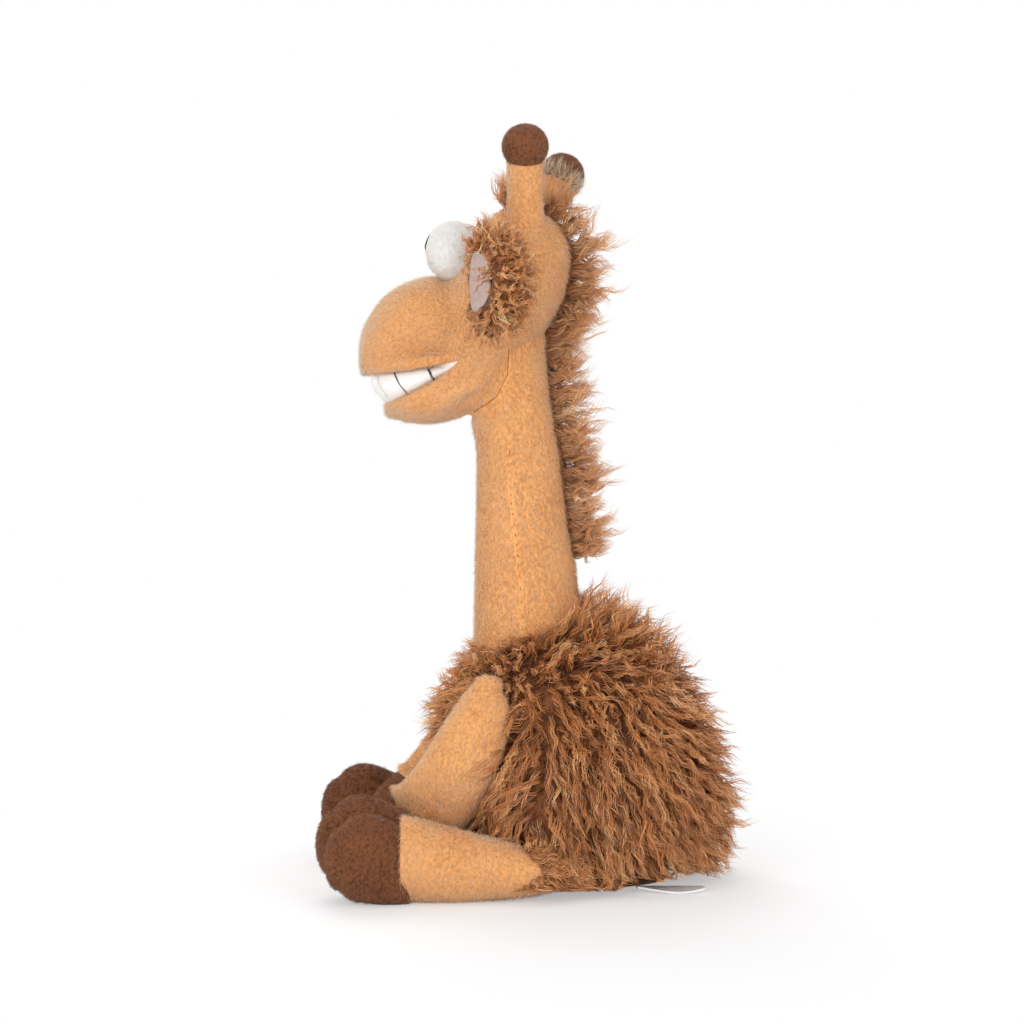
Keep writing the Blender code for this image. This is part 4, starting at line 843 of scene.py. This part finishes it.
STARTS = np.array([[-0.006, 0.0025, 0.049], [-0.0075, 0.0015, 0.049], [-0.007, 0.004, 0.048], [-0.009, -0.001, 0.049],
                   [-0.005, 0.0005, 0.05]])
COURSES = np.array([[-0.30, 0.15, -1], [-0.34, -0.05, -1], [-0.3, 0.3, -1], [-0.4, -0.2, -0.9], [-0.2, -0.35, -1]])
each = 5
for side, sign in SIDES.items():
    own = side + "_ear"
    seat = np.array([sign * 0.0365, -0.0579, 0.3151])
    axes = np.array([[-sign * 0.2419, 0.9703, 0], [0, 0, 1], [sign * 0.9703, 0.2419, 0]])
    form = stuffed(EAR, [(0, 0, -9.4), (0, 0, 52)])
    form.grid[..., 0] = np.maximum(form.grid[..., 0], ear_floor(form.grid[..., 1], form.grid[..., 2]))
    flap = padded(skin(own + "_flap", Shape(form.grid @ axes + seat, form.poles @ axes + seat), fur_backing, own), 0.5,
                  own)
    ring = np.concatenate([np.linspace(0.0, 1, 14), np.linspace(1, 0.0, 14)])[:, None]
    turn = np.arange(48) * 2 * np.pi / 48
    y, z = 0.0150 * ring * np.cos(turn), 0.0230 + 0.0225 * ring * np.sin(turn)
    x = ear_floor(y, z) - np.repeat([0.0011, 0.0003], 14)[:, None]
    sheet = np.stack([x, y, z], 2) @ axes + seat
    lined = skin(own + "_lining_cup", Shape(sheet[1:-1], sheet[[0, -1], 0]), lining_cloth, own)
    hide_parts(own + "_lining")
    root, out = scatter(flap, 0.155, 91)
    x, y, z = ((root - seat) @ axes.T).T
    channel = (x < ear_floor(y, z) + 0.0012) & (x > -0.0115) & (z < 0.047)
    keep = ~channel & (head.above(root)[0] > -0.0005)
    root, out, x, y = root[keep], out[keep], x[keep], y[keep]
    rng = np.random.default_rng(92)
    apart = np.stack([0 * x + 0.5, 0.6 * np.sign(y) * (x < -0.004), 0 * x], 1) * (x < 0.003)[:, None]
    way = unit(out + 0.5 * rng.normal(size=root.shape) + apart @ axes)
    root = np.concatenate([root, STARTS @ axes + seat])
    way = np.concatenate([way, unit(COURSES) @ axes])
    length = np.append(rng.uniform(8, 13, len(root) - 5), [18, 23, 16, 20, 14])
    paths, radius = locks(root, way, 0.2 * rng.normal(size=root.shape), length, 93, each, points=7, spread=1.2,
                          wave=1.9, pitch=6.0, close=0.65, frizz=0.3, thick=0.24, loose=0.35)
    x, y, z = np.moveaxis(paths - seat, 2, 0)
    over = (np.abs(z) < 0.0110) & (np.abs(y + 0.0018) < 0.0030) & (x * sign > 0.004)
    clear = ~over.any(1) | (np.arange(len(paths)) >= len(paths) - each * len(STARTS))
    tone = TONES * (np.repeat(0.5 + 0.2 * uneven(root, 0.01, 25), each) + 0.18 * rng.normal(size=len(paths)))
    hairs(own + "_curls", paths[clear], radius[clear], tone[clear], curls, own)

# Mane: a strip of long wavy fur, sewn into the seam from the forehead over the crown and down the neck. Its hair
# stands out in bunches, shorter over the forehead than on the neck.
SPINE = [(-45.9, 355), (-36.1, 357.8), (-25.6, 355.4), (-17.7, 348.3), (-12.5, 339), (-10.8, 328.4), (-12.1, 317.8),
         (-15.2, 307.5), (-21.9, 299.2), (-25, 289.1), (-24.5, 278.4), (-23.1, 267.7), (-21.5, 257.1), (-19.9, 246.5),
         (-18, 235.9), (-16.2, 225.3), (-14.9, 214.6), (-13.7, 204), (-12.4, 193.3), (-10.8, 182.7), (-8.9, 172.1)]
spine = np.insert(along(SPINE, 121) / 1000, 0, 0, 1)
outward = np.cross((1.0, 0, 0), unit(np.gradient(spine, axis=0)))
outward *= np.sign((outward * (spine - np.array([0, -0.045, 0.30]))).sum(1))[:, None]
outward = np.where(spine[:, 2:] < 0.30, np.array([0, 1.0, 0]), outward)
taper = np.sin(np.linspace(0.12, np.pi - 0.12, len(spine)))[:, None, None] ** 0.3
grid = spine[:, None] + taper * circle(0.0028 * outward, np.array([0.0065, 0, 0]), 20)
strip = Shape(grid, [spine[0], spine[-1]])
mane_fur = tuft("mane_fur", "mane_fur", {0: (172, 110, 62), 0.35: (220, 154, 98), 0.7: (242, 187, 131),
                                         1: (252, 220, 178)}, (0.5, 0.4, 0.32), shine=0.25, sheen=0.1, specular=0.5)
padded(skin("mane_strip", strip, fur_backing), 0.5, "mane")
rng = np.random.default_rng(101)
count, last, bunches, each = 540, len(spine) - 1, 21, 9
at = np.sort(rng.uniform(0, last, count))
bunch = at + 2.6 * np.sin(at / last * 2 * np.pi * bunches) * (rng.random(count) < 0.92)
place = np.clip(bunch, 0, last).round().astype(int)
across = rng.uniform(-1, 1, count)[:, None]
root = spine[place] + np.array([0.0068, 0, 0]) * across + 0.0012 * outward[place] * (1 - across ** 2)
way = unit(outward[place] + np.array([0.35, 0, 0]) * across + np.array([0, 0, -0.1])
           + 0.2 * rng.normal(size=root.shape))
sag = np.array([0, 0, 0.25]) + 0.16 * rng.normal(size=root.shape)
length = rng.uniform(0.75, 1.12, count) * np.interp(at / last, [0, 0.08, 0.15, 0.24, 1], [19, 16, 20, 25.5, 25])
length *= (1 - 0.25 * np.abs(across[:, 0])) * (1 + 0.12 * np.sin(3.7 * np.floor(at / last * bunches)))
paths, radius = locks(root, way, sag, length, 102, each, points=8, spread=2.6, wave=2.6, pitch=13, close=0.8,
                      frizz=0.8, thick=0.24, loose=0.35)
tone = TONES * (np.repeat(0.5 + 0.15 * uneven(root, 0.02, 26), each) + 0.17 * rng.normal(size=len(paths)))
half = count // 2 * each
for number, some in enumerate((slice(half), slice(half, None)), 1):
    hairs(f"mane_locks_{number}", paths[some], radius[some], tone[some], mane_fur)

# Seat: a panel of the fur closes the body below, with a bag of pellets above it and the fibre filling round that.
# A blank ribbon tab is caught in the seam at the left flank.


def banded(name, slot, scale, dark, light, rough, depth):
    """A woven cloth, whose colour goes from dark to light with its fine bands. They are its bump too."""
    cloth = Cloth(name, slot)
    bands = cloth.node("ShaderNodeTexWave", {"wave_type": "BANDS"}, {"Vector": cloth.place(), "Scale": scale})
    return cloth.finish(cloth.ramp(bands, (0.2, dye(*dark)), (0.8, dye(*light))), rough, bump=bands, depth=depth)


inner = grained("fibre", "stuffing_fibre", 6, 4, (226, 226, 222), (250, 250, 248), 0.95, 0.002)
calico = banded("calico", "pellet_cloth", 400, (214, 208, 190), (232, 227, 212), 0.9, 0.0002)
ribbon = banded("ribbon", "white_ribbon", 900, (236, 236, 236), (248, 248, 248), 0.45, 0.00005)
panel = turned([(0.2, 0), (0.2, 20), (0.2, 40), (0.3, 44), (1.4, 45.5), (2.6, 44), (3, 40), (3, 0)], (0, -2.2, 0),
               (0, 0, 1))
panel.grid[..., 0] *= 0.80
padded(skin("seat_panel", panel, fur_backing), 0.3, "base_panel")
pillow = turned([(3.6, 0), (3.7, 20), (5, 32), (9, 37), (15, 38.5), (16, 39), (17, 38.5), (23, 37), (27, 32),
                 (29, 20), (29.2, 0)], (0, -2.0, 0), (0, 0, 1))
pillow.grid[..., 0] *= 0.76
padded(skin("pellet_bag", pillow, calico), 0.6, "bean_bag")
bag_top = 0.0335
filling = body.grown(-0.0148)
filling.grid[..., 2] = np.maximum(filling.grid[..., 2], bag_top)
filling.poles[0, 2] = bag_top
filling.grid += filling.out * 0.0008 * uneven(filling.grid, 0.012, 14)[..., None]
padded(skin("fibre_filling", filling, inner), 0.9, "body_stuffing")

width, depth = 0.0350, 0.0150
across, reach = np.meshgrid(np.linspace(0, 1, 40), np.linspace(0, 1, 24), indexing="ij")
lift = 0.0016 + 0.0020 * (2 * across - 1) ** 2 * reach + 0.0006 * np.sin(across * 5 + 1) * reach
top = np.stack([0.0345 + depth * reach, 0.0233 + width * across, lift], 2)
tab = skin("blank_tab", slab(top, (0, 0, -0.0010)), ribbon)
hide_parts("seam_tab")

# Light and floor: a white sweep of card under soft, even studio light from three lamps and from all round. Both
# look bright to the camera and plain to the toy.
world = bpy.data.worlds.new("studio")
bpy.context.scene.world = world
sky = Cloth("studio", made=world)
camera_sees, glossy, through = (sky.node("ShaderNodeLightPath", {}, {}, ray) for ray in (0, 3, 6))
bright = camera_sees.maths("MAXIMUM", camera_sees, glossy.maths("MAXIMUM", glossy, through))
sky.node("ShaderNodeOutputWorld", {}, {0: sky.node("ShaderNodeBackground", {}, {
    "Color": (1, 1, 1, 1), "Strength": bright * 0.30 + 0.70})})

for name, place, size, power in (("key", (1.6, -0.75, 0.55), 1.2, 15.0), ("fill", (1.4, 0.8, 0.5), 1.0, 7.0),
                                 ("back", (-1.0, -0.3, 1.2), 1.0, 10.0)):
    lamp = put(name, bpy.data.lights.new(name, "AREA"))
    lamp.data.size, lamp.data.energy = size, power
    lamp.location = place
    x, y, z = np.array(place) - (0, -0.03, 0.2)
    lamp.rotation_euler = (np.arctan2(np.hypot(x, y), z), 0, np.arctan2(x, -y))

sweep = Cloth("sweep")
near = sweep.node("ShaderNodeVectorMath", {"operation": "LENGTH"}, {0: sweep.place()}, 1)
white = sweep.node("ShaderNodeBsdfDiffuse", {}, {"Color": dye(250, 250, 250)})
glow = sweep.node("ShaderNodeEmission", {}, {"Color": (1, 1, 1, 1), "Strength": 1.0})
fade = sweep.node("ShaderNodeMapRange", {}, {"Value": near, "From Min": 0.16, "From Max": 0.42, "To Min": 0.4,
                                             "To Max": 1.0})
seen_floor = sweep.node("ShaderNodeLightPath", {}, {}, 0)
floor_surface = sweep.node("ShaderNodeMixShader", {}, {0: fade * seen_floor, 1: white, 2: glow})
sweep.node("ShaderNodeOutputMaterial", {}, {0: floor_surface})
ground = bpy.data.meshes.new("ground")
ground.from_pydata([(-4, -4, 0), (4, -4, 0), (4, 4, 0), (-4, 4, 0)], [], [(0, 1, 2, 3)])
ground.materials.append(sweep.made)
put("ground", ground)
bpy.context.scene.view_settings.view_transform = "Standard"
